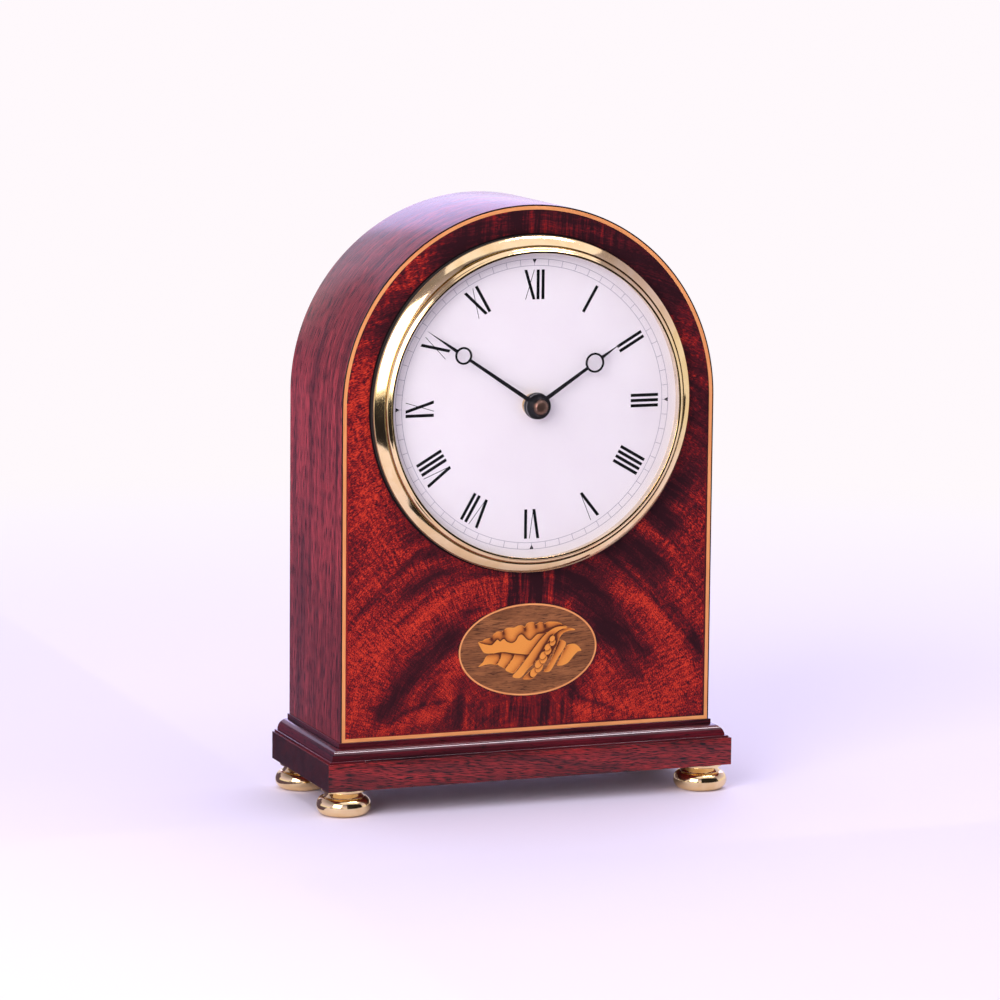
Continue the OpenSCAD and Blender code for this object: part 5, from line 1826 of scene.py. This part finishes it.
@dataclass
class Back:
    """The back frame, its hinged door, the hinges and the turned knob."""

    at: Datum
    knob: tuple = (
        (0, -5.0), (1.5, -5.0), (1.5, 0.0), (4.0, 0.0), (4.0, 0.7), (3.2, 1.2), (2.3, 1.9), (2.0, 3.0),
        (2.2, 4.0),
        (3.2, 4.8), (4.15, 5.8), (4.4, 6.8), (4.1, 7.9), (3.2, 8.7), (1.8, 9.0), (0, 9.0),
    )

    def build(self) -> None:
        """Eases the frame's and the door's edges and turns the knob about its node's middle."""
        fit(eased("back_frame", "frame_rails", 0.4), Finishes.door, "case", "dark_mahogany", "back_frame")
        fit(
            eased("back_door", "door_panel", 0.6, 3), Finishes.door, "back_door", "dark_mahogany", "back_door"
        )
        for node, body in (("hinge_frame_leaves", "case"), ("hinge_door_leaves", "back_door")):
            fit(eased(node, node + "_eased", 0.12), Finishes.fittings, body, "brass", node)
        low, high = (np.array(corner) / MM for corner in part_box("door_knob"))
        x, z = (low[0] + high[0]) / 2, (low[2] + high[2]) / 2
        r, h = rounded(self.knob, 0.5, 4, closed=False).T
        across, up, out = np.moveaxis(turned(np.stack([r, h], -1), 64), -1, 0)
        knob = Surface().grid(np.stack([x + across, self.at.back + out, z - up], -1), around=True)
        fit(knob.build("knob_turned", 28.0), Finishes.brass, "back_door", "brass", "door_knob")
        dress(Finishes.fittings, "frame_leaf_screws", "door_leaf_screws")
        dress(Finishes.steel, "hinge_pins", "catch_plate")
        dress(Finishes.magnet, "catch_magnet")


@dataclass
class Movement:
    """The battery movement behind the dial, which keeps its solids apart from the eased cases."""

    at: Datum

    def build(self) -> None:
        """Eases the two halves of the case and dresses the rest."""
        fit(
            eased("movement_rear_case", "movement_cover", 0.3), Finishes.plastic, "case", "black_plastic",
            "movement_rear_case",
        )
        fit(
            eased("movement_front_case", "movement_tray", 0.3), Finishes.plastic, "case", "black_plastic",
            "movement_front_case",
        )
        dress(Finishes.plastic, "set_knob", "circuit_chips")
        dress(
            Finishes.nylon, "train_plates", "seconds_wheel", "intermediate_wheel", "minute_wheel",
            "hour_wheel", "coil_bobbin",
        )
        dress(Finishes.fittings, "centre_wheel", "third_wheel", "neck_nut")
        dress(Finishes.steel, "centre_arbor", "stator", "rotor", "cell_contacts")
        dress(Finishes.rubber, "rubber_washer")
        dress(Finishes.board, "circuit_board")
        dress(Finishes.wire, "coil_winding")
        dress(Finishes.cell, "battery_cell")


# ---- the studio ------------------------------------------------------------


def seen_directly(w: Wiring) -> bpy.types.NodeSocket:
    """One for camera, glossy and transmission rays that met no matt surface before."""
    path = w.node("LightPath").outputs
    seen = w.math(
        "MAXIMUM", w.math("MAXIMUM", path["Is Camera Ray"], path["Is Glossy Ray"]),
        path["Is Transmission Ray"],
    )
    return w.math("MULTIPLY", seen, w.math("LESS_THAN", path["Diffuse Depth"], 0.5))


@dataclass(frozen=True)
class PaleFloor(Finish):
    """A pale floor that fades into the white background away from the clock."""

    colour: Colour = (0.85, 0.79, 0.99)
    far: Colour = (1.0, 0.945, 0.975)

    def shader(self, w: Wiring) -> bpy.types.NodeSocket:
        """A matt floor near the clock, and plain white to the eye and in reflections further off."""
        at = w.millimetres()
        x, y, _ = w.split(at)
        colour = w.blend(w.noise(at, 0.004, 2.0), self.colour, tuple(0.98 * c for c in self.colour))
        matt = self.principled(w, {"Base Color": colour, "Roughness": 0.7, "Specular IOR Level": 0.2})
        seen = seen_directly(w)
        far = w.between(w.length(w.join(x, y)), 220.0, 900.0)
        white = w.node("Emission", {"Color": self.far, "Strength": 1.0}).outputs[0]
        return w.node("MixShader", {0: w.math("MULTIPLY", far, seen), 1: matt, 2: white}).outputs[0]


@dataclass(frozen=True)
class StudioCard(Finish):
    """A card that glows evenly, dark or bright, for polished surfaces to mirror."""

    colour: Colour = (0.02, 0.018, 0.022)
    strength: float = 1.0

    def shader(self, w: Wiring) -> bpy.types.NodeSocket:
        """An even glow, clear to the rays that `seen_directly` leaves out."""
        tone = w.noise(w.millimetres(), 0.01, 2.0)
        colour = w.blend(tone, self.colour, tuple(1.4 * c for c in self.colour))
        glow = w.node("Emission", {"Color": colour, "Strength": self.strength}).outputs[0]
        clear = w.node("BsdfTransparent").outputs[0]
        return w.node("MixShader", {0: seen_directly(w), 1: clear, 2: glow}).outputs[0]


@dataclass
class Studio:
    """Floor, cards, lamps, world and camera."""

    eye: tuple[float, float, float] = (-0.65887, -1.69926, 0.39654)
    yaw: float = 0.369211
    pitch: float = 0.151695
    roll: float = 0.009952
    lens: float = 164.738
    sensor: float = 36.0
    aim: tuple[float, float, float] = (0.0, 0.0, 0.13)
    floor_radius: float = 6000.0
    floor_low: float = -0.02
    sky: tuple[tuple[float, Colour], ...] = (
        (0.0, (1.0, 0.945, 0.975)),
        (0.12, (1.0, 0.94, 0.975)),
        (0.22, (0.86, 0.76, 1.0)),
        (0.40, (0.70, 0.62, 0.94)),
        (0.75, (0.30, 0.27, 0.34)),
        (1.0, (0.25, 0.22, 0.28)),
    )

    def build_floor(self) -> None:
        """A disc: rings of r cos t, r sin t at the ground."""
        t = np.linspace(0, 2 * np.pi, 96, endpoint=False)
        r = np.array([0.0, 150, 400, 1000, 2500, self.floor_radius])[:, None]
        grid = np.stack([r * np.cos(t), r * np.sin(t), np.full_like(r * t, self.floor_low)], -1)
        self._stage(Surface().grid(grid, around=True).build("floor"), PaleFloor("pale_floor"))

    def build_cards(self) -> None:
        """Cards for polish only: before the clock, two behind its left side, a low fan in front and a bright
        strip.
        """
        dark, dim = StudioCard("dark_card"), StudioCard("dim_card", (0.11, 0.08, 0.14))
        glint = StudioCard("glint_card", (1.0, 0.88, 0.97), 22.0)
        self._card("glint_card", glint, [(-400.0, 1650.0), (-220.0, 1650.0)], (250.0, 1050.0))
        self._card(
            "front_card", dark, [(-120.0, 1.5), (-700.0, 1.5), (-760.0, 40.0), (-760.0, 980.0)],
            (-130.0, 1500.0),
        )
        self._card(
            "back_card", dim, [(-30.0, 1.5), (1250.0, 1.5), (1300.0, 40.0), (1300.0, 200.0)], (-1500.0, -89.0)
        )
        self._card("arch_card", dim, [(1310.0, 200.0), (1310.0, 760.0)], (-1500.0, -300.0))
        t = np.radians(np.linspace(193, 247, 12))
        fan = np.stack([np.cos(t), np.sin(t)], -1)
        reach = ((440.0, 1.5), (1150.0, 1.5), (1200.0, 125.0))
        rings = [np.column_stack([radius * fan, np.full(len(t), height)]) for radius, height in reach]
        self._stage(self._hidden(Surface().grid(np.stack(rings)).build("low_card")), dark)

    def _card(
        self, name: str, finish: Finish, path: Sequence[tuple[float, float]], span: tuple[float, float]
    ) -> None:
        """Adds a card from its (y, z) path and its span in x."""
        bend, x = np.array(path), np.array(span)[None, :]
        grid = np.stack([x + 0 * bend[:, :1], bend[:, :1] + 0 * x, bend[:, 1:] + 0 * x], -1)
        self._stage(self._hidden(Surface().grid(grid).build(name)), finish)

    @staticmethod
    def _hidden(card: bpy.types.Object) -> bpy.types.Object:
        """Keeps a card from the camera, from the lamps and from matt surfaces."""
        card.visible_camera = card.visible_diffuse = card.visible_shadow = False
        return card

    @staticmethod
    def _stage(thing: bpy.types.Object, finish: Finish) -> None:
        """Adds a thing that isn't part of the clock."""
        bpy.context.scene.collection.objects.link(thing)
        thing.data.materials.append(finish.material())

    def build_lamps(self) -> None:
        """A tall soft lamp at the front left, a wide one overhead and a weak lilac one behind at the
        right.
        """
        for name, place, size, power, colour in (
            ("key_lamp", (-1.02, -0.90, 0.66), (0.85, 1.0), 14.5, (1.0, 0.96, 0.95)),
            ("top_lamp", (0.4, 0.0, 1.9), (3.0, 2.4), 22.0, (0.93, 0.88, 1.0)),
            ("back_lamp", (0.80, 1.6, 0.80), (1.5, 0.95), 8.0, (0.60, 0.52, 1.0)),
        ):
            light = bpy.data.lights.new(name, "AREA")
            light.shape, light.size, light.size_y, light.energy = "RECTANGLE", size[0], size[1], power
            light.color = colour
            lamp = bpy.data.objects.new(name, light)
            lamp.location = place
            aim = Vector(self.aim) - Vector(place)
            lamp.rotation_euler = aim.to_track_quat("-Z", "Y").to_euler()
            bpy.context.scene.collection.objects.link(lamp)

    def build_world(self) -> None:
        """An even light for matt surfaces; to the eye, in polish and in glass, white at the level and lilac
        above.
        """
        world = bpy.data.worlds.new("studio")
        world.use_nodes = True
        w = Wiring(world.node_tree)
        seen = seen_directly(w)
        rise = w.split(w.node("TexCoord").outputs["Generated"])[2]
        sky = w.ramp(w.between(rise, 0.0, 1.0, soft=False), self.sky)
        soft = w.ramp(w.between(rise, 0.0, 0.6), [(0.0, (0.70, 0.68, 0.70)), (1.0, (1.0, 0.975, 1.0))])
        even = w.node("Background", {"Color": soft, "Strength": 0.62}).outputs[0]
        shown = w.node("Background", {"Color": sky, "Strength": 1.0}).outputs[0]
        out = w.node("OutputWorld")
        w.tree.links.new(w.node("MixShader", {0: seen, 1: even, 2: shown}).outputs[0], out.inputs["Surface"])
        bpy.context.scene.world = world

    def build_camera(self) -> None:
        """The camera, from its place, its yaw, its pitch down and its roll."""
        cy, sy, cp, sp = math.cos(self.yaw), math.sin(self.yaw), math.cos(self.pitch), math.sin(self.pitch)
        ahead = np.array([sy * cp, cy * cp, -sp])
        right = np.array([cy, -sy, 0.0])
        above = np.cross(right, ahead)
        level = right * math.cos(self.roll) + above * math.sin(self.roll)
        upright = -right * math.sin(self.roll) + above * math.cos(self.roll)
        matrix = Matrix.Identity(4)
        for column, vector in enumerate((level, upright, -ahead, np.array(self.eye))):
            for row in range(3):
                matrix[row][column] = float(vector[row])
        data = bpy.data.cameras.new("camera")
        data.lens, data.sensor_width = self.lens, self.sensor
        camera = bpy.data.objects.new("camera", data)
        camera.matrix_world = matrix
        bpy.context.scene.collection.objects.link(camera)
        bpy.context.scene.camera = camera

    def build(self) -> None:
        """Builds the studio."""
        self.build_floor()
        self.build_cards()
        self.build_lamps()
        self.build_world()
        self.build_camera()
        bpy.context.scene.view_settings.view_transform = "Standard"


def main() -> None:
    """Builds the studio, then the clock from its base to its back."""
    logging.basicConfig(level=logging.INFO, format="%(message)s")
    Studio().build()
    at = Datum.from_frame()
    for part in (Base(at), Case(at), Bezel(at), Dial(at), Hands(at), Back(at), Movement(at)):
        part.build()


if __name__ == "__main__":
    main()
